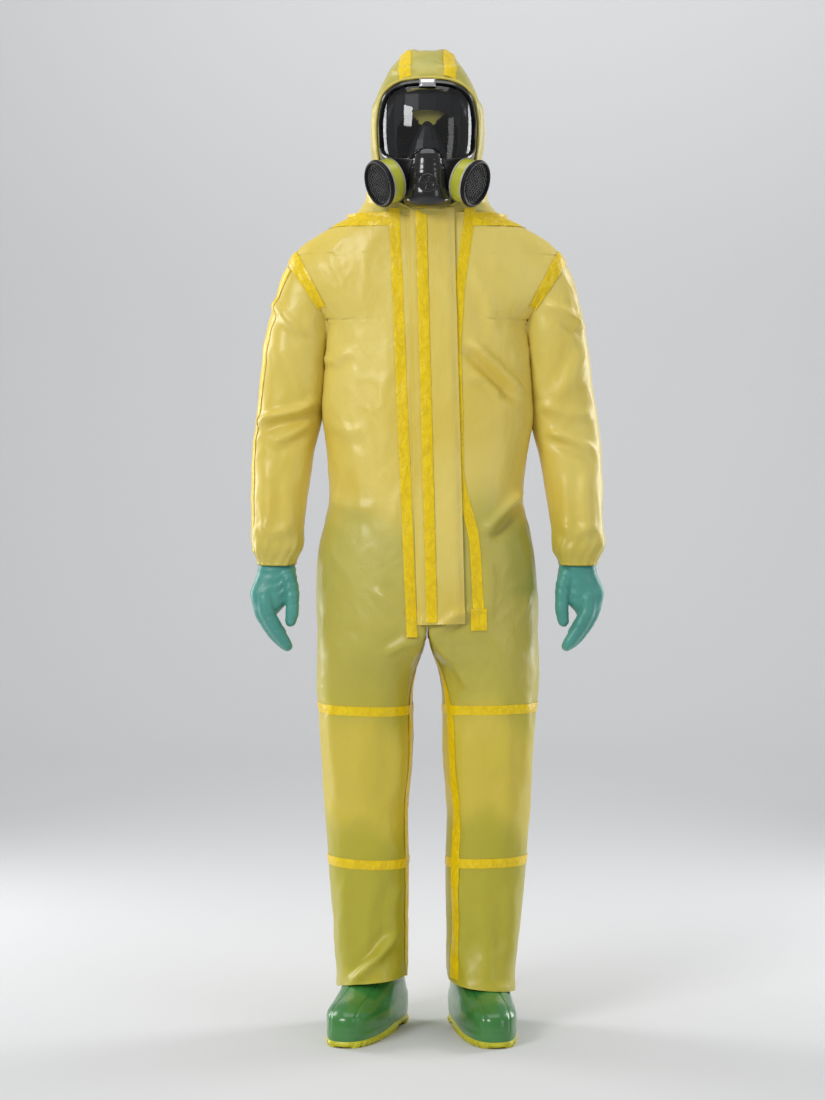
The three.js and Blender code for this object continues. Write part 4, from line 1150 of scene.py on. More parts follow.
@dataclass
class Trunk:
    """Front panels, placket, back panel, and the legs' knee and shin panels."""

    finishes: Finishes
    gap: float = 4.6
    wall: float = 0.8

    def build(self) -> list[bpy.types.Object]:
        """Makes every panel and hangs it on the suit's body.

        Returns:
            The new pieces.
        """
        made = []
        for side in (Side.LEFT, Side.RIGHT):
            made.append(self.dress("front_cloth_" + side.word, [self.front(side), self.thigh(side)],
                                   ["front_panel_" + side.word]))
            made.append(self.dress("knee_cloth_" + side.word, [self.leg(side, KNEE_BOTTOM_Z, KNEE_TOP_Z)],
                                   ["knee_panel_" + side.word]))
            made.append(self.dress("shin_cloth_" + side.word, self.hemmed(side, True),
                                   ["shin_panel_" + side.word]))
        made.append(self.dress("placket_cloth", [self.placket()], ["placket_left", "placket_right"]))
        made.append(self.dress("back_cloth", self.back(), ["back_panel"]))
        return made

    def dress(self, name: str, patches: list[Patch], nodes: list[str]) -> bpy.types.Object:
        """Colours the patches, makes the piece, hangs it on the suit's body and hides the imported parts it
        replaces.
        """
        for patch in patches:
            if "under" not in patch.values:
                shade_value(patch, suit_under(patch.points))
        piece = make_piece(name, patches, self.finishes.laminate)
        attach(piece, "suit")
        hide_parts(*nodes)
        return piece

    def columns(self, width: float) -> int:
        """How many columns span a width."""
        return max(3, int(width / self.gap) + 1)

    def span(self, z: Array, low: Callable[[Array], Array], high: Callable[[Array], Array],
             width: float) -> Patch:
        """A stretch of the trunk between two angle limits."""
        first, last = low(z), high(z)
        beta = steps_between(first, last, self.columns(width))
        return Patch.of(on_trunk, np.repeat(z[:, None], beta.shape[1], 1), beta, SUIT_DRAPE)

    def front(self, side: Side) -> Patch:
        """A front panel from its side seam or armhole to the placket's seam."""
        z = spaced_heights(SPLIT_Z, COLLAR_Z, self.gap)
        if side is Side.LEFT:
            return self.span(z, lambda v: beta_at(v, seam_x(v, *LEFT_SEAM)), front_end, 190.0)
        return self.span(z, lambda v: -front_end(v), lambda v: beta_at(v, seam_x(v, *RIGHT_SEAM)), 230.0)

    def placket(self) -> Patch:
        """The strip between the two front seams, under the flap."""
        z = spaced_heights(SPLIT_Z, COLLAR_Z, self.gap)
        return self.span(z, lambda v: beta_at(v, seam_x(v, *RIGHT_SEAM)),
                         lambda v: beta_at(v, seam_x(v, *LEFT_SEAM)), 140.0)

    def back(self) -> list[Patch]:
        """The back from shoulder to hem, both legs in one."""
        z = spaced_heights(SPLIT_Z, COLLAR_Z, self.gap)
        patches = [self.span(z, back_end, lambda v: 2 * np.pi - back_end(v), 560.0)]
        for side in (Side.LEFT, Side.RIGHT):
            patches += self.hemmed(side, False)
        return patches

    def hem(self, side: Side, beta: Array) -> Array:
        """The hem's height round the leg: higher at the inner side, lowest outside."""
        tilt, front = (18.0, 8.0) if side is Side.RIGHT else (20.0, -4.0)
        return HEM_Z + 4.0 - tilt * np.sin(beta) * 0.75 + front * np.maximum(np.cos(beta),
            0.0) + 2.0 * np.sin(3 * beta + 1)

    def leg(self, side: Side, low: float, high: float, back: bool = False) -> Patch:
        """Front or back half of a leg between two heights."""
        z = np.linspace(low, high, int((high - low) / self.gap) + 2)
        inner, outer = leg_seam_beta(z)
        first, last = (outer, 2 * np.pi + inner) if back else (inner, outer)
        beta = steps_between(first, last, self.columns(330.0 if high > 600 else 280.0))
        grid = np.repeat(z[:, None], beta.shape[1], 1)
        if low < KNEE_BOTTOM_Z - 1:
            start = self.hem(side, beta)
            grid = start + (grid - low) / (high - low) * (high - start)
        return Patch.of(sided(on_leg, side), grid, beta, SUIT_DRAPE, flip=side is Side.RIGHT)

    def thigh(self, side: Side) -> Patch:
        """The part of a front panel on the leg, from the knee seam to the crotch."""
        return self.leg(side, KNEE_TOP_Z, SPLIT_Z)

    def hemmed(self, side: Side, front: bool) -> list[Patch]:
        """The leg's lowest panel and its turned-in hem."""
        patch = self.leg(side, HEM_Z, KNEE_BOTTOM_Z if front else SPLIT_Z, back=not front)
        shade_value(patch, suit_under(patch.points))
        return [patch, turned_in(patch, "first", 14, self.wall)]


@dataclass
class SeamTapes:
    """The heat-sealed tapes on the suit's body: placket seams, neck, armholes, knees and inseams."""

    finishes: Finishes
    gap: float = 3.6
    half: float = TAPE_HALF

    def build(self) -> list[bpy.types.Object]:
        """Makes every tape of the suit's body.

        Returns:
            The new pieces.
        """
        made = [
            self.dress("front_tape_right", [self.line(RIGHT_SEAM, 750.0)], ["front_seam_tape_right"]),
            self.dress("front_tape_left", [self.line(LEFT_SEAM, 776.0), self.end_patch()],
                       ["front_seam_tape_left"]),
            self.dress("neck_tape", [self.neck()], ["neck_seam_tape"])]
        for side in Side:
            made.append(self.dress("armhole_strip_" + side.word, [self.armhole(side)],
                                   ["armhole_tape_" + side.word]))
            made.append(self.dress("leg_strips_" + side.word, self.leg(side),
                                   ["leg_seam_tapes_" + side.word]))
        return made

    def dress(self, name: str, patches: list[Patch], nodes: list[str]) -> bpy.types.Object:
        """Makes a tape piece that rides on the suit."""
        piece = make_piece(name, patches, self.finishes.tape)
        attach(piece, "suit")
        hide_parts(*nodes)
        return piece

    def line(self, seam: tuple[float, float], bottom: float) -> Patch:
        """The tape over a placket seam."""
        z = spaced_heights(bottom, COLLAR_Z + 7.0, self.gap)
        grid = np.repeat(z[:, None], 9, 1)
        edge = self.half - 1.0 + BROAD(np.stack([z / 60, z * 0 + bottom / 7, z * 0], -1))
        x = seam_x(z, *seam)[:, None] + np.linspace(-1.0, 1.0, 9) * edge[:, None]
        return strip(on_trunk, grid, beta_at(grid, x), SUIT_DRAPE)

    def end_patch(self) -> Patch:
        """A square of tape over the left tape's lower end."""
        z = np.linspace(762.0, 802.0, 14)
        grid = np.repeat(z[:, None], 11, 1)
        x = seam_x(z, *LEFT_SEAM)[:, None] + np.linspace(-15.0, 15.0, 11)
        return strip(on_trunk, grid, beta_at(grid, x), SUIT_DRAPE, 1.0, 1.2, 1.8, 0.5)

    def neck(self) -> Patch:
        """The tape round the neck seam, open at the front closure."""
        z = np.linspace(NECK_Z - 18.0, COLLAR_Z + 0.5, 8)
        first, last = beta_at(z, seam_x(z, *LEFT_SEAM) + 4), 2 * np.pi + beta_at(z,
            seam_x(z, *RIGHT_SEAM) - 4)
        beta = steps_between(first, last, 160)
        return Patch.of(on_trunk, np.repeat(z[:, None], 160, 1), beta, SUIT_DRAPE,
                        (0.6 + 0.9 * np.sin(np.linspace(0, np.pi, 8)))[:, None] + 0 * beta, 1.6)

    def armhole(self, side: Side) -> Patch:
        """The tape round an armhole, half on the trunk and half on the sleeve."""
        def band(shift: Array, beta: Array) -> Array:
            """The trunk's skin before the seam, the sleeve's after it."""
            return np.where((shift < 0)[..., None], armhole_ring(np.minimum(shift, 0.0), beta),
                            on_sleeve(np.maximum(shift, 0.0), beta))

        beta = np.linspace(-np.pi * 0.20, np.pi * 1.20, 150)
        shift = np.repeat(np.linspace(-self.half, self.half, 11)[None, :], 150, 0)
        return strip(sided(band, side), shift, np.repeat(beta[:, None], 11, 1), SUIT_DRAPE,
                     1.0 if side is Side.LEFT else -1.0, 0.9, 1.9, 0.8)

    def leg(self, side: Side) -> list[Patch]:
        """Cross tapes over the two knee seams and the inseam tape."""
        surface = sided(on_leg, side)
        sense = 1.0 if side is Side.LEFT else -1.0
        patches = []
        for height in (KNEE_TOP_Z, KNEE_BOTTOM_Z):
            z = np.linspace(height - self.half * 0.8, height + self.half * 0.8, 9)
            inner, outer = leg_seam_beta(z)
            beta = steps_between(inner, outer, 90)
            bend = 7.0 * np.sin(beta * 1.3 + (0.6 if side is Side.LEFT else -0.4))
            patches.append(Patch.of(surface, np.repeat(z[:, None], 90, 1) + bend * 0.35, beta, SUIT_DRAPE,
                                    (0.5 + 0.6 * np.sin(np.linspace(0, np.pi, 9)))[:, None] + 0 * beta, 0.9,
                                    sense < 0))
        z = np.linspace(HEM_Z + 16.0, SPLIT_Z - 4.0, 180)
        grid = np.repeat(z[:, None], 9, 1)
        middle = np.full_like(z, -np.pi / 2)
        _, far = leg_reach(z, middle)
        start, fall = (52.0, 22.0) if side is Side.LEFT else (26.0, 12.0)
        ahead = start - fall * smooth(z, 560.0, 700.0) + np.linspace(0.0, 21.0, 9)[:, None]
        beta = middle[:, None] + ahead.T / far[:, None]
        patches.append(strip(surface, grid, beta, SUIT_DRAPE, sense))
        return patches


@dataclass
class Sleeves:
    """Both sleeves: an upper cloth from the armhole down to the split height, and a lower one from there to the
    cuff.
    """

    finishes: Finishes
    gap: float = 4.2
    split_z: float = 1214.0
    elbow_low_z: float = 1086.0
    soft_shoulder: float = 80.0
    wall: float = 0.8

    def build(self) -> list[bpy.types.Object]:
        """Makes both sleeves.

        Returns:
            The new pieces.
        """
        made = []
        for side in Side:
            made += self.one(side)
        return made

    def one(self, side: Side) -> list[bpy.types.Object]:
        """One sleeve's two cloths."""
        split = SLEEVE_LINE.s_at_height(self.split_z)
        end = SLEEVE_LINE.s_at_height(CUFF_Z)
        drape = Drape(SLEEVE_FOLDS[side], 4.6, 2.6, 0.7, calm_sleeve)
        upper = make_piece("upper_sleeve_cloth_" + side.word, [self.cloth(side, 0.0, split, drape)],
                           self.finishes.laminate)
        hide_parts("sleeve_shoulder_" + side.word, "sleeve_upper_" + side.word)
        x = side.value
        start = ARMHOLE_MIDDLE * np.array([x, 1, 1])
        stop = start + ARMHOLE_OUT * np.array([x, 1, 1]) * self.soft_shoulder
        spot(*start)
        spot(*stop)
        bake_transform(upper)
        lower_patch = self.cloth(side, split, end, drape)
        lower = make_piece("lower_sleeve_cloth_" + side.word,
                           [lower_patch, turned_in(lower_patch, "last", 8, self.wall)],
                           self.finishes.laminate)
        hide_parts("sleeve_elbow_" + side.word, "sleeve_forearm_" + side.word,
                    "cuff_elastic_" + side.word)
        spot(x * 255, 15, self.split_z - 14.0)
        spot(x * 271, 12, self.elbow_low_z)
        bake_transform(lower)
        strips = [self.strip(side, 13.0, split, drape, "upper"),
                  self.strip(side, split, end - 24.0, drape, "lower")]
        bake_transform(strips[0], "suit", "upper_sleeve_" + side.word, spot(*start), spot(*stop))
        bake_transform(strips[1], "upper_sleeve_" + side.word, "forearm_" + side.word,
                 spot(x * 255, 15, self.split_z - 14.0),
                 spot(x * 271, 12, self.elbow_low_z))
        return [upper, lower, *strips]

    def strip(self, side: Side, start: float, stop: float, drape: Drape, word: str) -> bpy.types.Object:
        """The tape down the sleeve's outer seam, between two distances from the armhole."""
        s = np.linspace(start, stop, int((stop - start) / self.gap) + 2)
        middle = math.radians(68.0 if side is Side.RIGHT else 112.0)
        beta = np.repeat(middle + np.linspace(-0.5, 0.5, 9)[None] * 19.0 / 56.0, len(s), 0)
        band = strip(sided(on_sleeve, side), np.repeat(s[:, None], 9, 1), beta, drape,
                     -1.0 if side is Side.LEFT else 1.0, 0.8, 1.4, 0.5)
        tape = make_piece(f"sleeve_strip_{word}_{side.word}", [band], self.finishes.tape)
        return tape

    def cloth(self, side: Side, start: float, stop: float, drape: Drape) -> Patch:
        """A stretch of sleeve between two distances from the armhole, gathered at the cuff."""
        s = np.linspace(start, stop, int((stop - start) / self.gap) + 2)
        count = 96
        beta = np.linspace(-np.pi / 2, 1.5 * np.pi, count)
        grid_s, grid_b = np.repeat(s[:, None], count, 1), np.repeat(beta[None, :], len(s), 0)
        z = SLEEVE.at(SLEEVE_LINE.u_at(grid_s))[..., 2]
        gathered = smooth(z, 960.0, 895.0)
        phase = grid_b + 0.25 * np.sin(z / 23.0 + side.value)
        pucker = 1.5 * np.abs(np.sin(phase * 8.0)) ** 1.5 + 1.2 * np.sin(phase * 4.0 + z / 31.0) - 0.8
        drawn = -9.0 * smooth(z, 918.0, 882.0) ** 1.6 + 3.0 * np.exp(-(((z - 925.0) / 22.0) ** 2))
        patch = Patch.of(sided(on_sleeve, side), grid_s, grid_b, drape, pucker * gathered + drawn,
                         flip=side is Side.LEFT)
        x = np.abs(patch.points[..., 0])
        # Darker towards the cuff, where the glove's gauntlet lies under the film, and painted shade on the
        # sleeve's inner side next to the trunk.
        dark = 0.10 + 0.30 * smooth(patch.points[..., 2], 1000.0, 900.0) + 0.15 * smooth(x, 230.0, 200.0)
        return shade_value(patch, np.clip(dark, 0, 1))


# ---------------------------------------------------------------- the front closure


@dataclass
class Closure:
    """The zip's tapes and chain, the flap's sewn base, the storm flap and the tape along its seam."""

    finishes: Finishes
    sewn_x: float = -9.0
    free_x: float = 69.8
    low: float = 27.0
    high: float = 797.0
    stand: float = 9.0
    zip_x: float = 40.0
    turn: float = math.radians(-1.5)

    def build(self) -> list[bpy.types.Object]:
        """Makes the closure's cloth pieces and dresses the zip.

        Returns:
            The new pieces.
        """
        return [self.base(), self.flap(), self.flap_tape(), *self.zip_tapes(), self.teeth()]

    def on_front(self, up: Array, across: Array) -> Array:
        """The trunk's front by the closure's own leaning coordinates: x turns back with height."""
        z = CROTCH_Z + up + 0.026 * across
        return on_trunk(z, beta_at(z, across + math.sin(self.turn) * up))

    def rows(self, low: float, high: float, gap: float = 4.2) -> Array:
        """Evenly spaced heights."""
        return np.linspace(low, high, int((high - low) / gap) + 2)

    def cloth(self, low: float, high: float, across: Array, lift: Array, drape: Drape) -> Patch:
        """A sheet over the front between two heights, lifted by a row of heights across it."""
        up = self.rows(low, high)
        grid = np.repeat(up[:, None], len(across), 1)
        return Patch.of(self.on_front, grid, np.repeat(across[None, :], len(up), 0), drape,
                        np.broadcast_to(lift, grid.shape))

    def base(self) -> bpy.types.Object:
        """The sewn edge, rising from the cloth to the flap's height."""
        t = np.linspace(0.0, 1.0, 7)
        across = -18.0 + t * (self.sewn_x + 18.0)
        patch = shade_value(self.cloth(self.low, self.high, across, 0.5 + (self.stand - 0.5) * smooth(t),
                                       SUIT_DRAPE), 0.1)
        return self.dress("flap_root", [patch], "suit", ["flap_base"], self.finishes.laminate, "laminate")

    def flap(self) -> bpy.types.Object:
        """The storm flap: a loose strip that stands off the zip, its free edge turned back."""
        across = np.linspace(self.sewn_x, self.free_x, 24)
        t = (across - self.sewn_x) / (self.free_x - self.sewn_x)
        patch = self.cloth(self.low, self.high, across, self.stand - 5.0 * smooth(across, 55.0, 70.0),
                           SUIT_DRAPE)
        wave = BROAD(patch.points / np.array([60.0, 60.0, 130.0]) + 4.0)
        ripple = np.maximum(0.0, 1 - 4 * np.abs(CREASED(patch.points / np.array([40.0, 40.0, 70.0]))))
        free = smooth(t, 0.25, 1.0)[None, :]
        lift = (2.2 * wave + 0.9 * ripple) * (0.25 + 0.75 * free) + 0.8
        patch.points = patch.points + patch.normals * lift[..., None]
        patch.normals = Patch.directions(patch.points)
        shade_value(patch, 0.14 * smooth(patch.points[..., 2], 1000.0, 800.0))
        back = Patch(patch.points - patch.normals * 0.9, -patch.normals, None, dict(patch.values))
        edges = [turned_in(patch, edge, 2, 0.9) for edge in ("first", "last", "right", "left")]
        piece = self.dress("storm_flap_cloth", [patch, back, *edges], "flap", ["storm_flap"],
                           self.finishes.laminate, "laminate")
        (self.high - self.low) / 1000.0
        return piece

    def flap_tape(self) -> bpy.types.Object:
        """The tape along the flap's seam line."""
        across = np.linspace(-1.0, 19.0, 9)
        t = np.abs(np.linspace(-1, 1, 9))
        patch = self.cloth(self.low + 4, self.high, across, self.stand + 1.6 + 0.7 * smooth(t, 1.0, 0.7),
                           SUIT_DRAPE)
        tight = np.maximum(0.0, 1 - 3 * np.abs(FINE(patch.points / np.array([15.0, 15.0, 24.0]))))
        patch.points = patch.points + patch.normals * (0.9 * tight)[..., None]
        patch.normals = Patch.directions(patch.points)
        return self.dress("flap_strip", [patch, turned_in(patch, "right", 2, 0.8)], "flap", ["flap_tape"],
                          self.finishes.tape, "seam_tape")

    def zip_tapes(self) -> list[bpy.types.Object]:
        """The zip's two woven tapes under the flap."""
        made = []
        for side in Side:
            across = self.zip_x + side.value * np.linspace(3.0, 19.0, 5)
            across = across if side is Side.LEFT else across[::-1]
            patch = self.cloth(40.0, 770.0, across, np.full(5, 1.6), SUIT_DRAPE)
            made.append(self.dress("zip_band_" + side.word, [patch], "suit", ["zip_tape_" + side.word],
                                   self.finishes.elastic, "elastic"))
        return made

    def teeth(self) -> bpy.types.Object:
        """The zip's coil: one small rounded tooth after another, from alternate sides.

        Each tooth is a lens-shaped bump on a 5 by 5 grid, placed along the chain by whole-array sums.
        """
        up = np.arange(42.0, 768.0, 3.2)
        u, v = np.meshgrid(np.linspace(-1, 1, 5), np.linspace(-1, 1, 5))
        side = np.where(np.arange(len(up)) % 2 == 0, 1.0, -1.0)
        across = self.zip_x + side[:, None, None] * 0.6 + 2.3 * u[None]
        grid = up[:, None, None] + 1.4 * v[None]
        height = 1.2 + 2.4 * np.sqrt(np.maximum(0.0, 1 - 0.75 * (u**4 + v**4)))
        base = self.on_front(grid.reshape(-1, 5), across.reshape(-1, 5)).reshape(len(up), 5, 5, 3)
        points = base + np.array([0.0, -1.0, 0.06]) * (height[None, ..., None] + 0.6)
        patches = [Patch(p, np.broadcast_to(np.array([0.0, -1.0, 0.0]), p.shape)) for p in points]
        return self.dress("zip_teeth", patches, "suit", ["zip_chain"], self.finishes.black_plastic,
                          "zip_black", False)

    def dress(self, name: str, patches: list[Patch], body: str, nodes: list[str], finish: bpy.types.Material,
              slot: str, shade: bool = True) -> bpy.types.Object:
        """Makes a closure piece on its body."""
        for patch in patches:
            if finish is self.finishes.laminate and "under" not in patch.values:
                shade_value(patch, 0.1)
        piece = make_piece(name, patches, finish, shade)
        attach(piece, body)
        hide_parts(*nodes)
        return piece


# ---------------------------------------------------------------- the hood


HOOD = Stations(tuple((0.0, 12.0, *row) for row in (
    (1531.5, 148, 102, 84, 2.4, 0), (1545, 130, 100, 84, 2.4, 0), (1568, 114, 98, 88, 2.5, 0),
    (1611, 105, 100, 98, 2.5, 0),
    (1659, 102, 103, 108, 2.5, 0), (1717, 104.5, 108, 114, 2.5, 0), (1755, 96, 113, 112, 2.5, 0),
    (1790, 80, 112, 99, 2.5, 0), (1822, 60, 88, 76, 2.5, 0), (1841, 40, 54, 50, 2.3, 0),
    (1848, 2, 2, 2, 2, 0))))
MASK = Stations(tuple((0.0, -45.0, z, half, front, 60.0, 2.3, 0.0) for z, half, front in (
    (1540, 50, 60), (1572, 64, 80), (1612, 80, 90), (1662, 90, 95), (1712, 91, 94), (1752, 89, 84),
    (1784, 84, 66))))


@dataclass(frozen=True)
class Outline:
    """A closed outline in the XZ plane, the same on both sides, smooth through its points."""

    points: tuple[tuple[float, float], ...]

    def at(self, turn: Array, grow: float = 0.0) -> Array:
        """Points on the outline.

        Args:
            turn: 0 at the top middle, 0.5 at the bottom middle, 1 at the top again.
            grow: Millimetres outwards.

        Returns:
            (..., 2) x and z.
        """
        right = np.array(self.points, float)
        left = right[-2:0:-1] * np.array([-1.0, 1.0])
        ring = np.concatenate([right, left])
        lengths = np.linalg.norm(np.roll(ring, -1, 0) - ring, axis=1)
        before = np.concatenate([[0.0], np.cumsum(lengths)])
        u = np.interp(np.mod(turn, 1.0) * before[-1], before, np.arange(len(before)))
        i = np.minimum(u.astype(int), len(ring) - 1)
        f = (u - i)[..., None]
        a, b, c, d = (ring[(i + k) % len(ring)] for k in (-1, 0, 1, 2))
        position = b + 0.5 * f * (c - a + f * (2 * a - 5 * b + 4 * c - d + f * (3 * (b - c) + d - a)))
        slope = c - a + f * (4 * a - 10 * b + 8 * c - 2 * d) + 3 * f * f * (3 * (b - c) + d - a)
        outward = unit(np.stack([-slope[..., 1], slope[..., 0]], -1)) * -1.0
        outward = outward * np.sign(np.sum(outward * (position - np.array([0.0, 130.0])), -1, keepdims=True))
        return position + outward * grow + np.array([0.0, NECK_Z])


MASK_EDGE = Outline(((0, 248), (50, 243), (80, 222), (91, 182), (91, 135), (84, 88), (66, 47), (42, 23),
                     (0, 16)))
LENS_EDGE = Outline(((0, 240), (48, 235), (75, 216), (84.5, 180), (84.5, 142), (80, 116), (56, 104), (0, 98)))


def on_mask(x: Array, z: Array) -> Array:
    """The mask's front over the XZ plane: its oval's depth at each x."""
    row = MASK.at_height(z)
    ratio = np.clip(np.abs(x) / row[..., 3], 0.0, 0.998) ** row[..., 6]
    return np.stack([x, -45.0 - row[..., 4] * (1.0 - ratio) ** (1.0 / row[..., 6]), z], -1)


@dataclass
class Hood:
    """The hood's cloth, its two tapes, and the elastic hem that grips the mask's edge."""

    finishes: Finishes
    gap: float = 3.4
    seam: float = 41.0
    grip: float = 30.0
    hem: float = 2.6

    def __post_init__(self) -> None:
        """Samples the face opening."""
        self.turns = np.linspace(0.0, 1.0, 260, endpoint=False)
        self.edge = MASK_EDGE.at(self.turns, 2.0)
        self.edge_y = on_mask(self.edge[:, 0] * 0.985, self.edge[:, 1])[:, 1] + 1.0
        row = HOOD.at_height(self.edge[:, 1])
        ratio = np.clip(np.abs(self.edge[:, 0]) / row[:, 3], 0, 0.999) ** row[:, 6]
        self.cloth_y = 12.0 - row[:, 4] * (1 - ratio) ** (1 / row[:, 6])
        self.drape = Drape((
            Fold(((-92, 1620), (-84, 1580), (-60, 1552)), 7.0, 7.0),
            Fold(((92, 1624), (82, 1582), (60, 1552)), 7.0, 7.0),
            Fold(((-112, 1600), (-106, 1570), (-70, 1545)), 6.0, 6.0),
            Fold(((112, 1602), (108, 1572), (70, 1545)), 7.0, 6.0),
            Fold(((-99, 1760), (-101, 1700), (-99, 1640)), 4.5, 5.0, Face.ROUND),
            Fold(((99, 1762), (102, 1700), (100, 1640)), 4.5, 5.0, Face.ROUND),
            Fold(((-78, 1806), (-50, 1796), (-16, 1800)), 4.0, 7.0),
            Fold(((70, 1812), (48, 1800), (10, 1804)), 4.0, 7.0),
            Fold(((-60, 1838), (-40, 1846), (-14, 1838)), 4.0, 9.0, Face.ROUND),
            Fold(((16, 1836), (40, 1846), (62, 1834)), 4.0, 9.0, Face.ROUND),
            Fold(((-80, 1560), (-20, 1572), (40, 1566), (90, 1552)), 8.0, 10.0, Face.BACK),
            Fold(((-90, 1610), (-10, 1600), (60, 1618)), 5.0, 10.0, Face.BACK)), 4.4, 2.0, 0.6, self.calm)

    def calm(self, points: Array) -> Array:
        """Quiet cloth at the neck seam and along the gripped edge."""
        return (0.15 + 0.85 * smooth(points[..., 2], NECK_Z + 3, NECK_Z + 40)) * (
            1.0 - 0.75 * self.near(points)[0])

    def near(self, points: Array) -> tuple[Array, Array]:
        """How much a point belongs to the gripped edge, and how far the edge pulls the cloth along Y."""
        flat = points[..., [0, 2]].reshape(-1, 2)
        gaps = np.linalg.norm(flat[:, None, :] - self.edge[None], axis=-1)
        best = np.argmin(gaps, axis=1)
        distance = gaps[np.arange(len(flat)), best].reshape(points.shape[:-1])
        pull = (self.edge_y - self.cloth_y)[best].reshape(points.shape[:-1])
        front = smooth(points[..., 1], 20.0, -20.0)
        return np.exp(-((distance / self.grip) ** 2)) * front, pull

    def inside(self, points: Array) -> Array:
        """True for points within the hood's plain shape."""
        row = HOOD.at_height(points[..., 2])
        y = points[..., 1] - 12.0
        depth = np.where(y < 0, row[..., 4], row[..., 5])
        oval = np.abs(points[..., 0] / row[..., 3]) ** row[..., 6] + np.abs(y / depth) ** row[..., 6]
        return (oval < 1.0) & (points[..., 2] < HOOD.rows[-1][2])

    def gripped(self, points: Array) -> Array:
        """Cloth pulled to the mask's edge near the opening, and to the suit's own neck at the bottom."""
        weight, pull = self.near(points)
        out = points.copy()
        out[..., 1] += weight * pull
        low = 1.0 - smooth(points[..., 2], NECK_Z + 4.0, NECK_Z + 40.0)
        neck = on_trunk(np.full(points.shape[:-1], NECK_Z),
                        np.arctan2(points[..., 0] / 150.0, -points[..., 1] / 92.0))
        out[..., 1] += low * (neck[..., 1] - points[..., 1]) * (1 - weight)
        inset = 1.0 - 0.014 * (1.0 - smooth(points[..., 2], COLLAR_Z, COLLAR_Z + 4.0))
        out[..., :2] *= inset[..., None]
        return out

    def on_hood(self, z: Array, beta: Array) -> Array:
        """Hood points by height and angle."""
        row = HOOD.at_height(z)
        power = 2.0 / row[..., 6]
        depth = np.where(np.cos(beta) > 0, row[..., 4], row[..., 5])
        points = np.stack([row[..., 3] * signed_power(np.sin(beta), power),
                           12.0 - depth * signed_power(np.cos(beta), power),
                           np.asarray(z, float) + 0 * beta], -1)
        return self.gripped(points)

    def over_crown(self, turn: Array, x: Array) -> Array:
        """Hood points by a ray from the head's middle: 0 is forward, 90 degrees up, 180 back."""
        start = np.stack([x, np.full_like(x, 12.0), np.full_like(x, 1700.0)], -1)
        ray = np.stack([0 * x, -np.cos(turn), np.sin(turn)], -1)
        return self.gripped(start + ray * reach(start, ray, self.inside, 240.0)[..., None])

    def build(self) -> list[bpy.types.Object]:
        """Makes the hood's pieces.

        Returns:
            The new pieces.
        """
        z = np.linspace(NECK_Z + 1.0, HOOD.rows[-1][2], 3000)
        half = HOOD.at_height(z)[:, 3]
        length = np.concatenate([[0], np.cumsum(np.hypot(np.diff(z), np.diff(half)))])
        z = np.interp(np.linspace(0, length[-1], int(length[-1] / self.gap)), length, z)
        made = []
        cuts = {"hood_cloth_right": (-np.pi, 0.0, "hood_side_right"),
                "hood_cloth_left": (0.0, np.pi, "hood_side_left")}
        for name, (first, last, node) in cuts.items():
            beta = np.linspace(first, last, 100)
            grid = np.repeat(z[:, None], 100, 1)
            patch = Patch.of(self.on_hood, grid, np.repeat(beta[None], len(z), 0), self.drape)
            middle = (patch.points[1:, 1:] + patch.points[:-1, :-1]) / 2
            patch.keep = ~self.in_opening(middle)
            patch.points = self.trimmed(patch.points)
            clear = smooth(np.abs(patch.points[..., 0]), 96.0, 112.0) + 0.6 * smooth(patch.points[..., 2],
                1600.0, 1550.0)
            shade_value(patch, np.clip(0.72 + 0.5 * BROAD(patch.points / 46.0) - 0.5 * clear, 0.0, 1.0))
            piece = make_piece(name, [patch], self.finishes.laminate)
            self.settle(piece)
            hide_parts(node, *(["hood_centre"] if first < 0 else []))
            made.append(piece)
        made.append(self.rim())
        for side in Side:
            turn = np.linspace(math.radians(38.0), math.radians(230.0), 120)
            x = self.seam * side.value + np.linspace(-1, 1, 9) * TAPE_HALF
            patch = strip(self.over_crown, np.repeat(turn[:, None], 9, 1), np.repeat(x[None], 120, 0),
                          self.drape, 1.0, 0.7, 1.4)
            piece = make_piece("hood_strip_" + side.word, [patch], self.finishes.tape)
            self.settle(piece)
            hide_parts("hood_seam_tape_" + side.word)
            made.append(piece)
        return made

    def settle(self, piece: bpy.types.Object) -> None:
        """Bakes a hood piece's placement into its mesh."""
        spot(0, 12, NECK_Z + 1.0)
        spot(0, 12, NECK_Z + 22.0)
        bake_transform(piece)

    def in_opening(self, points: Array) -> Array:
        """True where points lie in the face opening and before its hem: even-odd outline crossings."""
        x, z = points[..., 0], points[..., 2]
        crossings = np.zeros(x.shape, int)
        ring = self.edge
        for (x0, z0), (x1, z1) in zip(ring, np.roll(ring, -1, 0)):
            spans = (z0 > z) != (z1 > z)
            crossings += spans & (x < (x1 - x0) * (z - z0) / ((z1 - z0) or 1e-9) + x0)
        flat = points[..., [0, 2]].reshape(-1, 2)
        best = np.argmin(np.linalg.norm(flat[:, None, :] - self.edge[None], axis=-1), axis=1)
        before = points[..., 1] < self.edge_y[best].reshape(x.shape) + 2.5
        return (crossings % 2 == 1) & before

    def trimmed(self, points: Array) -> Array:
        """Points just within the opening moved out to its edge, so that the cut follows the outline."""
        out = points.copy()
        rim = np.stack([self.edge[:, 0], self.edge_y, self.edge[:, 1]], -1)
        close = self.in_opening(points)
        flat = points[close]
        gaps = np.linalg.norm(flat[:, None, :] - rim[None], axis=-1)
        best = np.argmin(gaps, axis=1)
        near = gaps[np.arange(len(flat)), best] < 3.0 * self.gap
        flat[near] = rim[best[near]]
        out[close] = flat
        return out

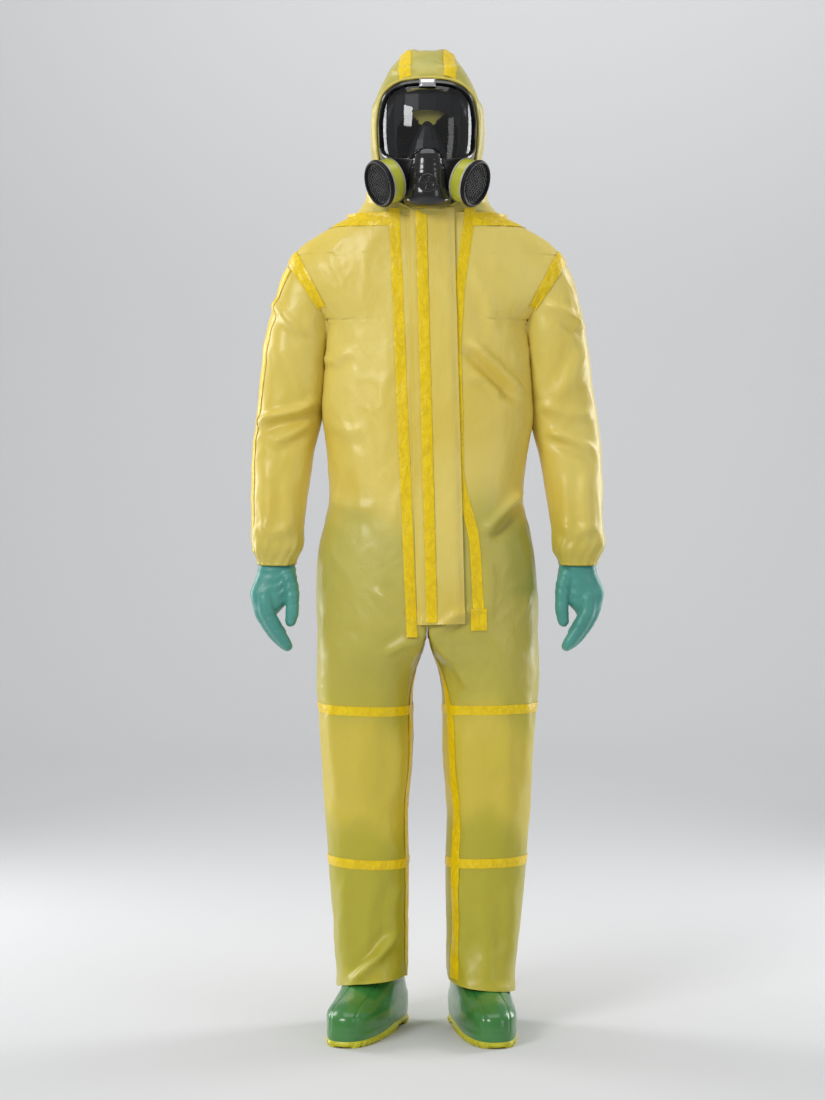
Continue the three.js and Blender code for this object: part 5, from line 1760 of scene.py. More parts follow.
    def rim(self) -> bpy.types.Object:
        """The elastic hem: a gathered tube carried round the opening."""
        turn = np.linspace(0.0, 1.0, 420)
        around = np.linspace(0.0, 2 * np.pi, 13)
        flat = MASK_EDGE.at(turn, 3.4)
        y = on_mask(MASK_EDGE.at(turn, 0)[:, 0] * 0.985, flat[:, 1])[:, 1] + 0.6
        out = unit(MASK_EDGE.at(turn, 6.0) - flat)
        ripple = self.hem + 0.7 * np.abs(np.sin(turn * 2 * np.pi * 46)) + 0.6 * np.sin(turn * 2 * np.pi * 17)
        offset_out = np.cos(around)[None] * ripple[:, None]
        offset_y = np.sin(around)[None] * ripple[:, None] * 0.8
        points = np.stack([flat[:, :1] + out[:, :1] * offset_out, y[:, None] + offset_y,
                           flat[:, 1:] + out[:, 1:] * offset_out], -1)
        normals = unit(points - np.stack([flat[:, 0], y, flat[:, 1]], -1)[:, None])
        piece = make_piece("face_hem", [shade_value(Patch(points, normals), 0.42)], self.finishes.laminate)
        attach(piece, "hood")
        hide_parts("face_elastic")
        return piece


# ---------------------------------------------------------------- the mask


def lathe(profile: Sequence[tuple[float, float]], origin: Array, axis: Array, count: int = 72) -> Patch:
    """A profile of (radius, height) turned round an axis.

    Args:
        profile: Radii and heights along the axis, from the outside start to the end.
        origin: The axis's foot.
        axis: Its direction.
        count: Steps round it.

    Returns:
        The turned skin, facing away from its own middle.
    """
    axis = unit(np.asarray(axis, float))
    side = unit(np.cross(axis,
                         np.array([0.0, 0.0, 1.0]) if abs(axis[2]) < 0.9 else np.array([1.0, 0.0, 0.0])))
    up = np.cross(axis, side)
    table = rounded(np.array(profile, float))
    turn = np.linspace(0.0, 2 * np.pi, count + 1)
    ring = np.cos(turn)[:, None] * side + np.sin(turn)[:, None] * up
    points = origin + table[:, None, :1] * ring[None] + table[:, None, 1:] * axis
    slope = np.gradient(table, axis=0)
    outward = slope[:, 1, None, None] * ring[None] - slope[:, 0, None, None] * axis
    return Patch(points, unit(outward))


def rounded(table: Array, share: float = 0.22, most: float = 1.2) -> Array:
    """A polyline with its corners eased: each inner corner becomes a short three-point curve."""
    out = [table[0]]
    for before, here, after in zip(table[:-2], table[1:-1], table[2:]):
        for end in (before, after):
            length = np.linalg.norm(end - here)
            step = min(most, share * length) / max(length, 1e-9)
            out.append(here + (end - here) * step)
            if end is before:
                out.append(here + 0.25 * step * ((before - here) + (after - here)))
    out.append(table[-1])
    return np.array(out)


def crisp(piece: bpy.types.Object, degrees: float = 32.0) -> bpy.types.Object:
    """Marks edges sharper than an angle, on hard parts."""
    piece.data.set_sharp_from_angle(angle=math.radians(degrees))
    return piece


@dataclass
class Mask:
    """Lens, frame, face seal, front housing, valve cover, twin filter cartridges and head harness."""

    finishes: Finishes
    seat: tuple[float, float, float] = (64.0, -112.0, 1594.0)
    lean: tuple[float, float, float] = (0.80, -0.53, -0.28)

    def build(self) -> list[bpy.types.Object]:
        """Makes the mask.

        Returns:
            The new pieces.
        """
        made = [self.lens(), self.frame(), self.clip(), self.housing(), self.cover(), self.harness()]
        for side in Side:
            made += self.cartridge(side)
        return made

    def dress(self, name: str, patches: list[Patch], body: str, nodes: list[str], finish: bpy.types.Material,
              slot: str, hard: bool = False) -> bpy.types.Object:
        """Makes a mask piece on its body."""
        piece = make_piece(name, patches, finish, not hard)
        if hard:
            crisp(piece)
        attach(piece, body)
        if nodes:
            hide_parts(*nodes)
        return piece

    def lens(self) -> bpy.types.Object:
        """The lens: a web of rings from its middle to its outline, on the mask's front."""
        turn, share = np.linspace(0, 1, 145), np.linspace(0.002, 1.0, 26)
        edge = LENS_EDGE.at(turn, 1.5)
        middle = np.array([0.0, NECK_Z + 160.0])
        flat = middle + (edge - middle)[None] * share[:, None, None]
        front = on_mask(flat[..., 0], flat[..., 1])
        normals = Patch.directions(front)
        normals = normals * np.sign(-normals[..., 1:2])
        patch = Patch(front, normals)
        return self.dress("lens_shell", [patch], "mask", ["visor_lens"], self.finishes.lens, "lens")

    def frame(self) -> bpy.types.Object:
        """The rubber body round the lens: a bead by the lens, a hollow, and a lip at the outer edge."""
        turn = np.linspace(0, 1, 241)
        stops = np.array([(0.0, -3.0), (0.0, 1.0), (0.02, 4.0), (0.12, 5.6), (0.24, 5.4), (0.33, 4.2),
                          (0.40, 3.2),
                          (0.52, 2.8), (0.70, 2.4), (0.84, 2.6), (0.94, 1.6), (1.0, -1.0), (1.0, -4.0)])
        fine = np.linspace(0, len(stops) - 1, 50)
        t = np.interp(fine, np.arange(len(stops)), stops[:, 0])
        lift = np.interp(fine, np.arange(len(stops)), stops[:, 1])
        inner, outer = LENS_EDGE.at(turn), MASK_EDGE.at(turn, -0.5)
        width = np.linalg.norm(outer - inner, axis=-1)
        warped = t[:, None] ** (1.0 + 0.02 * np.maximum(width - 14.0, 0.0))[None]
        flat = inner[None] * (1 - warped[..., None]) + outer[None] * warped[..., None]
        base = on_mask(flat[..., 0], flat[..., 1])
        smoothed = on_mask(flat[..., 0] * 0.98, flat[..., 1])
        outward = unit(smoothed - np.array([0.0, -45.0, 0.0]) - np.stack([0 * flat[..., 0], 0 * flat[..., 0],
            flat[..., 1]], -1))
        points = base + outward * lift[:, None, None]
        normals = Patch.directions(points)
        normals = normals * np.sign(np.sum(normals * outward, -1, keepdims=True) + 1e-9)
        normals[:2] = unit(np.stack([-(flat[:2, :, 0]), 0 * flat[:2, :, 0], (NECK_Z + 160 - flat[:2, :, 1])],
                                    -1))
        return self.dress("mask_body", [Patch(points, normals)], "mask", ["facepiece"],
                          self.finishes.shiny_rubber, "mask_rubber")

    def clip(self) -> bpy.types.Object:
        """A plain steel clip over the top of the lens frame."""
        u, v = np.meshgrid(np.linspace(-15, 15, 13), np.linspace(-7.5, 7.5, 9))
        base = on_mask(u, NECK_Z + 240.0 + v)
        edge = np.maximum(np.abs(u) / 15, np.abs(v) / 7.5)
        points = base + np.array([0.0, -1.0, 0.25]) * (7.2 - 2.6 * smooth(edge, 0.8,
            1.0) + 0.6 * np.cos(v / 7.5 * 4.7))[..., None]
        normals = Patch.directions(points)
        normals = normals * np.sign(-normals[..., 1:2])
        return self.dress("frame_clip", [Patch(points, normals)], "mask", [], self.finishes.steel,
                          "mask_plastic")

    def housing(self) -> bpy.types.Object:
        """The front housing: a lofted barrel with ribs across its front, widening to a chin cup."""
        rows = ((1541, 22, 32, 2.1), (1542.5, 31, 43, 2.1), (1547, 39, 51, 2.1), (1555, 44, 56, 2.1),
                (1565, 45, 58, 2.1),
                (1575, 43, 57, 2.2), (1582, 40, 55, 2.3), (1588, 38.5, 57, 2.3), (1600, 38, 60, 2.3),
                (1616, 36.5, 59, 2.3),
                (1630, 33, 57, 2.4), (1641, 28, 52, 2.6), (1648, 22, 46, 2.5), (1650, 17, 38, 2.4),
                (1651, 8, 20, 2.2),
                (1651.2, 1, 4, 2))
        loft = Stations(tuple((0.0, -100.0, z, half, front, 26.0, square, 0.0) for z, half, front,
                              square in rows))
        u = np.linspace(0, len(rows) - 1, 110)
        beta = np.linspace(-np.pi, np.pi, 121)
        grid_u, grid_b = np.repeat(u[:, None], 121, 1), np.repeat(beta[None], 110, 0)
        z = loft.at(grid_u)[..., 2]
        ribs = 0.5 * np.exp(-((np.mod(z - 1589.0, 9.0) - 4.5) / 1.6) ** 2) * smooth(z, 1586,
            1590) * smooth(z, 1646, 1638)
        ribs = ribs * smooth(np.cos(grid_b), 0.1, 0.5)
        patch = Patch.of(lambda a, b: loft.ring(a, b), grid_u, grid_b, None, ribs)
        low = patch.points[0].mean(0) + (patch.points[0] - patch.points[0].mean(0)) * np.linspace(1.0, 0.0,
            8)[:, None, None]
        under = Patch(low, np.broadcast_to(np.array([0.0, 0.0, -1.0]), low.shape))
        return self.dress("front_housing", [patch, under], "mask", ["port_housing"],
                          self.finishes.black_plastic, "mask_plastic")

    def cover(self) -> bpy.types.Object:
        """The round cover of the outlet valve, with slots between its ribs."""
        origin, axis = np.array([0.0, -148.0, 1584.0]), np.array([0.0, -1.0, 0.0])
        ring = lathe([(13.0, 8.0), (16.8, 8.0), (17.5, 9.5), (17.5, 13.5), (16.0, 15.5), (12.5, 16.0),
                      (12.0, 13.4), (3.5, 13.2),
                      (3.2, 15.4), (0.01, 15.8)], origin, axis, 60)
        bars = []
        for k in range(10):
            turn = k * math.tau / 10
            along, across = np.meshgrid(np.linspace(3.0, 12.6, 6), np.linspace(-0.9, 0.9, 5))
            c, s = math.cos(turn), math.sin(turn)
            height = 15.2 - 0.5 * (across / 0.9) ** 2
            points = np.stack([along * c - across * s, -148.0 - height, 1584.0 + along * s + across * c], -1)
            bars.append(Patch(points, np.broadcast_to(np.array([0.0, -1.0, 0.0]), points.shape)))
        return self.dress("valve_cover", [ring, *bars], "mask", ["exhalation_valve_cover"],
                          self.finishes.black_plastic,
                          "mask_plastic", True)

    def cartridge(self, side: Side) -> list[bpy.types.Object]:
        """A filter cartridge: threaded neck, pale rims, coloured band, black rim and mesh grille."""
        turn = np.array([side.value, 1.0, 1.0])
        origin, axis = np.array(self.seat) * turn, unit(np.array(self.lean)) * turn
        body = "cartridge_" + side.word
        shell = lathe([(15.0, -3.4), (26.0, -3.0), (36.0, -2.4), (40.4, -1.0), (41.6, 1.0), (41.6, 3.0)],
                      origin, axis)
        band = lathe([(41.0, 3.0), (41.2, 3.6), (41.2, 22.4), (41.0, 23.0)], origin, axis)
        top = lathe([(41.7, 23.0), (42.0, 23.6), (42.0, 25.4), (41.2, 26.4), (34.0, 26.6)], origin, axis)
        rim = lathe([(33.0, 26.6), (41.8, 26.6), (43.2, 27.0), (43.9, 28.0), (44.0, 31.6), (43.0, 33.8),
                     (41.0, 34.8),
                     (39.0, 34.2), (38.2, 32.4), (37.6, 30.8), (20.0, 29.4), (0.02, 29.0)], origin, axis)
        grooves = [lathe([(43.9, h), (44.3, h + 0.5), (43.9, h + 1.0)], origin, axis) for h in (28.6, 30.2)]
        made = [
            self.dress("cartridge_rims_" + side.word, [shell, top], body, ["cartridge_body_" + side.word],
                       self.finishes.filter_rim, "filter_body", True),
            self.dress("cartridge_band_" + side.word, [band], body, [], self.finishes.filter_body,
                       "filter_body", True),
            self.dress("cartridge_front_" + side.word, [rim, *grooves, *self.mesh(origin, axis)], body,
                       ["cartridge_grille_" + side.word], self.finishes.grille, "mask_plastic", True)]
        return made

    def mesh(self, origin: Array, axis: Array, radius: float = 37.4, count: int = 13) -> list[Patch]:
        """The grille: two sets of thin half-round bars at right angles, each a strip across the disc."""
        side = unit(np.cross(axis, np.array([0.0, 0.0, 1.0])))
        up = np.cross(axis, side)
        bars = []
        for first, second in ((side + up, up - side), (up - side, side + up)):
            first, second = unit(first), unit(second)
            for place_across in np.linspace(-0.94, 0.94, count) * radius:
                reach_along = math.sqrt(max(radius**2 - place_across**2, 1.0))
                t, w = np.meshgrid(np.linspace(-1, 1, 9) * reach_along, np.linspace(-1, 1, 4), indexing="ij")
                dome = 31.6 - 1.3 * ((t**2 + place_across**2) / radius**2) + 1.1 * np.sqrt(np.maximum(0,
                    1 - w**2))
                points = origin + t[..., None] * first + (place_across + 0.95 * w)[...,
                    None] * second + dome[..., None] * axis
                normals = np.broadcast_to(axis, points.shape) + 0.8 * w[..., None] * second
                bars.append(Patch(points, unit(normals)))
        return bars

    def harness(self) -> bpy.types.Object:
        """Five straps from the frame to a pad behind the head, each a flat ribbon on its own curve."""
        routes = [((0, -78, 1764), (0, -26, 1792), (0, 40, 1780), (0, 79.5, 1708))]
        for x in (1, -1):
            routes.append(((x * 83, -36, 1716), (x * 78, 26, 1708), (x * 22, 79.5, 1700)))
            routes.append(((x * 76, -36, 1634), (x * 78, 26, 1656), (x * 22, 79.5, 1678)))
        patches = [self.ribbon(np.array(route, float)) for route in routes]
        u, v = np.meshgrid(np.linspace(-30, 30, 13), np.linspace(1664, 1716, 11))
        for y, facing in ((82.0, 1.0), (78.5, -1.0)):
            points = np.stack([u, y - 0.004 * u**2, v], -1)
            patches.append(Patch(points, np.broadcast_to(np.array([0.0, facing, 0.0]), points.shape)))
        return self.dress("harness_straps", patches, "hood", ["head_harness"], self.finishes.black_rubber,
                          "mask_rubber")

    @staticmethod
    def ribbon(route: Array, half: float = 9.0, thick: float = 1.4) -> Patch:
        """A closed flat band along a smooth curve: an oval section with its long side up or across."""
        fine = np.linspace(0, len(route) - 1, 40)
        i = np.minimum(fine.astype(int), len(route) - 2)
        f = (fine - i)[:, None]
        a, b, c, d = (route[np.clip(i + k, 0, len(route) - 1)] for k in (-1, 0, 1, 2))
        line = b + 0.5 * f * (c - a + f * (2 * a - 5 * b + 4 * c - d + f * (3 * (b - c) + d - a)))
        ahead = unit(np.gradient(line, axis=0))
        out = unit(line - np.array([0.0, 0.0, 1700.0]))
        out = unit(out - np.sum(out * ahead, -1, keepdims=True) * ahead)
        wide = np.cross(ahead, out)
        turn = np.linspace(0, 2 * np.pi, 17)
        points = (line[:, None] + wide[:, None] * (half * signed_power(np.cos(turn), 0.5))[None, :, None]
                  + out[:, None] * (thick * signed_power(np.sin(turn), 0.6))[None, :, None])
        return Patch(points, unit(points - line[:, None]))


# ---------------------------------------------------------------- gloves and boots


def melted(name: str, parts: list[tuple[Array, Array]], voxel: float, passes: int,
           finish: bpy.types.Material) -> bpy.types.Object:
    """Closed skins made one: joined, remeshed at a voxel size and smoothed.

    Args:
        name: The piece's name.
        parts: Points in millimetres and quads of each closed skin.
        voxel: Voxel size in millimetres.
        passes: Smoothing passes.
        finish: The material.

    Returns:
        The new object, with its modifiers applied.
    """
    points, faces, base = [], [], 0
    for corner, quads in parts:
        points.append(corner)
        faces.append(quads + base)
        base += len(corner)
    mesh = mesh_from(name, place(np.concatenate(points)), np.concatenate(faces))
    piece = bpy.data.objects.new(name, mesh)
    bpy.context.scene.collection.objects.link(piece)
    remesh = piece.modifiers.new("melt", "REMESH")
    remesh.mode, remesh.voxel_size, remesh.use_smooth_shade = "VOXEL", voxel / 1000.0, True
    relax = piece.modifiers.new("relax", "SMOOTH")
    relax.factor, relax.iterations = 0.5, passes
    graph = bpy.context.evaluated_depsgraph_get()
    done = bpy.data.meshes.new_from_object(piece.evaluated_get(graph))
    piece.modifiers.clear()
    piece.data = done
    done.name = name
    done.materials.clear()
    done.materials.append(finish)
    return piece


def closed_loft(rows: Sequence[Sequence[float]], steps: int = 60, around: int = 40) -> tuple[Array, Array]:
    """A closed skin through oval sections, with its ends drawn to a point."""
    loft = Stations(tuple(tuple(row) for row in rows))
    u = np.linspace(0, len(rows) - 1, steps)
    beta = np.linspace(0, 2 * np.pi, around, endpoint=False)
    grid = loft.ring(np.repeat(u[:, None], around, 1), np.repeat(beta[None], steps, 0))
    first, last = grid[0].mean(0), grid[-1].mean(0)
    points = np.concatenate([first[None], grid.reshape(-1, 3), last[None]])
    number = 1 + np.arange(steps * around).reshape(steps, around)
    following = np.roll(number, -1, 1)
    quads = np.stack([number[:-1], following[:-1], following[1:], number[1:]], -1).reshape(-1, 4)
    caps = [np.stack([np.zeros(around, int), following[0], number[0], number[0]], -1),
            np.stack([np.full(around, len(points) - 1), number[-1], following[-1], following[-1]], -1)]
    triangles = np.concatenate([quads[:, [0, 1, 2]], quads[:, [0, 2, 3]], caps[0][:, :3], caps[1][:, :3]])
    return points, triangles


def tapered(path: Sequence[Sequence[float]], steps: int = 34, around: int = 22) -> tuple[Array, Array]:
    """A finger: a round skin along a path of (x, y, z, radius), with rounded ends."""
    table = np.array(path, float)
    fine = np.linspace(0, len(table) - 1, steps)
    i = np.minimum(fine.astype(int), len(table) - 2)
    f = (fine - i)[:, None]
    a, b, c, d = (table[np.clip(i + k, 0, len(table) - 1)] for k in (-1, 0, 1, 2))
    line = b + 0.5 * f * (c - a + f * (2 * a - 5 * b + 4 * c - d + f * (3 * (b - c) + d - a)))
    ahead = unit(np.gradient(line[:, :3], axis=0))
    round_start, round_end = np.sin(np.linspace(0.1, np.pi / 2, 6)), np.cos(np.linspace(0, np.pi / 2 - 0.1,
        6))
    radius = line[:, 3]
    middle = np.concatenate([line[:1, :3] - ahead[:1] * radius[0] * np.cos(np.linspace(0.1, np.pi / 2, 6))[:,
        None],
                             line[:, :3],
                             line[-1:,
                                  :3] + ahead[-1:] * radius[-1] * np.sin(np.linspace(0, np.pi / 2 - 0.1,
                                      6))[:, None]])
    size = np.concatenate([radius[0] * round_start, radius, radius[-1] * round_end])
    along = np.concatenate([np.repeat(ahead[:1], 6, 0), ahead, np.repeat(ahead[-1:], 6, 0)])
    side = unit(np.cross(along, np.array([0.0, 1.0, 0.0])))
    up = np.cross(along, side)
    turn = np.linspace(0, 2 * np.pi, around, endpoint=False)
    grid = middle[:, None] + size[:, None,
                                  None] * (np.cos(turn)[None, :, None] * side[:, None] + np.sin(turn)[None,
                                      :, None] * up[:, None])
    rows = len(middle)
    points = np.concatenate([middle[:1], grid.reshape(-1, 3), middle[-1:]])
    number = 1 + np.arange(rows * around).reshape(rows, around)
    following = np.roll(number, -1, 1)
    quads = np.stack([number[:-1], number[1:], following[1:], following[:-1]], -1).reshape(-1, 4)
    triangles = np.concatenate([
        quads[:, [0, 1, 2]], quads[:, [0, 2, 3]],
        np.stack([np.zeros(around, int), number[0], following[0]], -1),
        np.stack([np.full(around, len(points) - 1), following[-1], number[-1]], -1)])
    return points, triangles


@dataclass
class Gloves:
    """Gauntlet gloves: a cuff inside the sleeve, a palm, four fingers held together and a hanging thumb."""

    finishes: Finishes
    voxel: float = 1.7

    def build(self) -> list[bpy.types.Object]:
        """Makes both gloves.

        Returns:
            The new pieces.
        """
        return [self.one(side) for side in Side]

    def parts(self) -> list[tuple[Array, Array]]:
        """The left glove's closed skins."""
        palm = closed_loft(((279.5, -2, 985, 36, 33, 33, 2.3, 0), (283.5, -14, 910, 36, 32, 32, 2.3, 0),
                            (283.5, -20, 874, 35, 30, 30, 2.3, 0), (285, -23, 852, 40, 29, 30, 2.5, 0),
                            (290, -26, 832, 42, 28, 32, 2.5, 4), (297, -28, 816, 37, 27, 34, 2.5, 10),
                            (303, -29, 802, 28, 25, 34, 2.5, 16), (304, -30, 788, 20, 22, 32, 2.4, 20),
                            (302, -31, 778, 12, 14, 24, 2.2, 20)), 90, 64)
        fingers = [tapered(path) for path in (
            ((304, -44, 816, 17), (300, -47, 792, 15.5), (286, -51, 763, 14), (270, -54, 740, 12),
             (263, -55, 730, 10)),
            ((315, -28, 814, 17), (309, -32, 790, 16), (293, -37, 760, 14.5), (273, -42, 736, 12),
             (263, -43, 727, 10)),
            ((312, -10, 812, 16), (306, -14, 786, 14.5), (290, -19, 758, 13), (274, -24, 740, 11),
             (266, -26, 732, 9.5)),
            ((306, 5, 810, 14), (300, 2, 788, 12.5), (288, -3, 766, 11.5), (276, -7, 750, 10)))]
        thumb = tapered(((264, -38, 862, 15.5), (256, -44, 838, 15), (253, -48, 808, 13.2),
                         (254, -50, 786, 12.2),
                         (256, -51, 775, 11)))
        return [palm, *fingers, thumb]

    def one(self, side: Side) -> bpy.types.Object:
        """One glove, wrinkled at the wrist and thumb root."""
        turned = [(points * np.array([side.value, 1.0, 1.0]), faces if side is Side.LEFT else faces[:, ::-1])
                  for points, faces in self.parts()]
        piece = melted("rubber_glove_" + side.word, turned, self.voxel, 7, self.finishes.glove)
        mesh = piece.data
        points = np.zeros(len(mesh.vertices) * 3, np.float32)
        mesh.vertices.foreach_get("co", points)
        normals = np.zeros(len(mesh.vertices) * 3, np.float32)
        mesh.vertex_normals.foreach_get("vector", normals)
        points = points.reshape(-1, 3).astype(float) * 1000.0 - np.array([0.0, SHIFT_Y, 0.0])
        normals = normals.reshape(-1, 3).astype(float)
        points = points + normals * self.wrinkles(points, side)[:, None]
        mesh.vertices.foreach_set("co", place(points).astype(np.float32).ravel())
        mesh.update()
        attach(piece, "glove_" + side.word)
        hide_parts("glove_" + side.word)
        return piece

    @staticmethod
    def wrinkles(points: Array, side: Side) -> Array:
        """Soft creases: slanting over the palm, and rings at the wrist and across the fingers."""
        x, z = np.abs(points[:, 0]), points[:, 2]
        slant = z + 0.55 * (x - 280.0) + 3.0 * np.sin(x / 6.0 + side.value)
        root = np.exp(-((z - 838.0) / 24.0) ** 2) * np.exp(-((x - 268.0) / 24.0) ** 2)
        wrist = np.exp(-((z - 876.0) / 14.0) ** 2)
        joints = sum(np.exp(-((slant - h) / 3.0) ** 2) for h in (790.0, 762.0))
        soft = BROAD(points / 22.0 + side.value * 3.0)
        return 1.3 * root * np.sin(slant / 2.9) + 0.8 * wrist * np.sin(z / 2.6) - 0.7 * joints + 1.4 * soft


@dataclass
class Boots:
    """Moulded safety boots: a lofted upper with a foxing band, and a sole with heel block and cleats."""

    finishes: Finishes
    middle_x: float = 98.0
    toe_out: tuple[float, float] = (8.0, 16.0)

    def build(self) -> list[bpy.types.Object]:
        """Makes both boots.

        Returns:
            The new pieces.
        """
        made = []
        for side in Side:
            made += [self.upper(side), self.sole(side)]
        return made

    def stand(self, points: Array, side: Side) -> Array:
        """Turns a boot's own points by its toe-out and sets them at its place."""
        turn = math.radians(self.toe_out[0 if side is Side.LEFT else 1])
        x, y, z = points[..., 0], points[..., 1], points[..., 2]
        out = np.stack([x * math.cos(turn) - y * math.sin(turn) + self.middle_x,
                        x * math.sin(turn) + y * math.cos(turn), z], -1)
        return out * np.array([side.value, 1.0, 1.0])

    def upper(self, side: Side) -> bpy.types.Object:
        """The upper from the welt to its top edge, and its inner wall down to the ankle."""
        rows = ((18.4, 211, 84, 51, 2.9), (30, 213, 85, 53, 2.9), (42, 212, 85, 54, 2.8),
                (56, 205, 84, 54, 2.7),
                (69, 178, 82, 52, 2.5), (85, 124, 79, 50, 2.4), (102, 92, 76, 46, 2.3),
                (125, 76, 74, 43, 2.3),
                (240, 61, 74, 48, 2.3), (314, 61, 76, 51, 2.3))
        loft = Stations(tuple((0.0, 0.0, z, half, front, back, square, 0.0) for z, front, back, half,
                              square in rows))
        u = np.concatenate([np.linspace(0, 7, 120), np.linspace(7, 9, 42)[1:]])
        beta = np.linspace(-np.pi, np.pi, 201)
        grid_u, grid_b = np.repeat(u[:, None], 201, 1), np.repeat(beta[None], len(u), 0)

        def skin(a: Array, b: Array) -> Array:
            """The loft, its lowest stretch drawn down over the sole at the toe."""
            plain = loft.ring(a, b)
            drop = 9.5 * smooth(-plain[..., 1], 50.0, 150.0) * (1.0 - smooth(plain[..., 2], 18.0, 44.0))
            plain[..., 2] -= drop
            return plain

        plain = skin(grid_u, grid_b)
        x, y, z = plain[..., 0], plain[..., 1], plain[..., 2]
        low = 1.0 + 0.9 * (1 - smooth(z, 20.0, 30.0))
        toe = 3.0 * np.exp(-((y + 176) / 30.0) ** 2) * smooth(z, 30, 60)
        vamp = smooth(-y, 34, 70) * smooth(z, 22, 34)
        groove = -sum(1.5 * np.exp(-(((x - c - 3.0 * np.sin(y / 46.0)) / 1.5) ** 2)) for c in (-24.0,
            21.0)) * vamp
        swell = 2.0 * np.exp(-((x + 1.5) / 16.0) ** 2) * vamp
        panel = -1.1 * np.exp(-(((z - (88.0 - 0.16 * y)) / 1.6) ** 2)) * smooth(y, -70, -40)
        dents = 1.6 * BROAD(plain / np.array([44.0, 60.0, 40.0]) + side.value * 2.0) * smooth(z, 40, 90)
        heel = 1.6 * np.exp(-(((z - 62) / 16.0) ** 2)) * smooth(y, 40, 70)
        patch = Patch.of(lambda a, b: self.stand(skin(a, b), side), grid_u, grid_b, None,
                         low + toe + groove + swell + panel + dents + heel, flip=side is Side.RIGHT)
        return self.dress("rubber_boot_" + side.word, [patch, turned_in(patch, "last", 46, 3.4)], side,
                          "boot_upper_",
                          self.finishes.boots[side], "boot_rubber")

    def sole(self, side: Side) -> bpy.types.Object:
        """The sole: rim, cleated edge, hollow waist before a heel block, and a flat underside."""
        rows = ((0.0, 211, 82, 51, 2.9), (0.6, 213, 84, 53, 2.9), (7, 216, 86, 55.5, 2.9),
                (9, 215, 86.5, 55.5, 2.9),
                (16.5, 211, 86, 52, 2.9), (18.4, 209, 85.5, 51.5, 2.9), (18.9, 204, 80, 48, 2.8))
        loft = Stations(tuple((0.0, 0.0, z, half, front, back, square, 0.0) for z, front, back, half,
                              square in rows))
        u = np.linspace(0, 6, 40)
        beta = np.linspace(-np.pi, np.pi, 361)
        grid_u, grid_b = np.repeat(u[:, None], 361, 1), np.repeat(beta[None], 40, 0)
        plain = loft.ring(grid_u, grid_b)
        y, z = plain[..., 1], plain[..., 2]
        low = smooth(z, 11.0, 8.5)
        cleat = -2.6 * smooth(np.cos(y / 2.4), 0.2, 0.6) * low
        waist = -6.0 * smooth(y, -34, -28) * smooth(y, 26, 20) * low
        patch = Patch.of(lambda a, b: self.stand(loft.ring(a, b), side), grid_u, grid_b, None, cleat + waist,
                         flip=side is Side.RIGHT)
        raised = patch.points.copy()
        share = np.linspace(1.0, 0.0, 24)[:, None, None]
        middle = raised[0] * np.array([0.0, 1.0, 1.0]) + np.array([1.0, 0,
            0]) * (self.stand(plain[0] * np.array([0.0, 1.0, 1.0]), side))[:, :1]
        under = middle[None] + (raised[0] - middle)[None] * share
        local_y = np.broadcast_to(plain[0, :, 1], under.shape[:2])
        grooves = 3.0 * smooth(np.cos(local_y / 2.4), 0.2, 0.6) * smooth(share[..., 0], 0.97, 0.9)
        arch = 8.0 * smooth(local_y, -34, -26) * smooth(local_y, 26, 18) * smooth(share[..., 0], 1.0, 0.9)
        under[..., 2] += np.maximum(grooves, arch)
        bottom = Patch(under, np.broadcast_to(np.array([0.0, 0.0, -1.0]), under.shape))
        return self.dress("cleated_sole_" + side.word, [patch, bottom], side, "boot_sole_",
                          self.finishes.sole, "sole_rubber")

    def dress(self, name: str, patches: list[Patch], side: Side, node: str, finish: bpy.types.Material,
              slot: str) -> bpy.types.Object:
        """Makes a boot piece; boots stand with the suit."""
        piece = make_piece(name, patches, finish)
        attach(piece, "suit")
        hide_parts(node + side.word)
        return piece


# ---------------------------------------------------------------- the studio


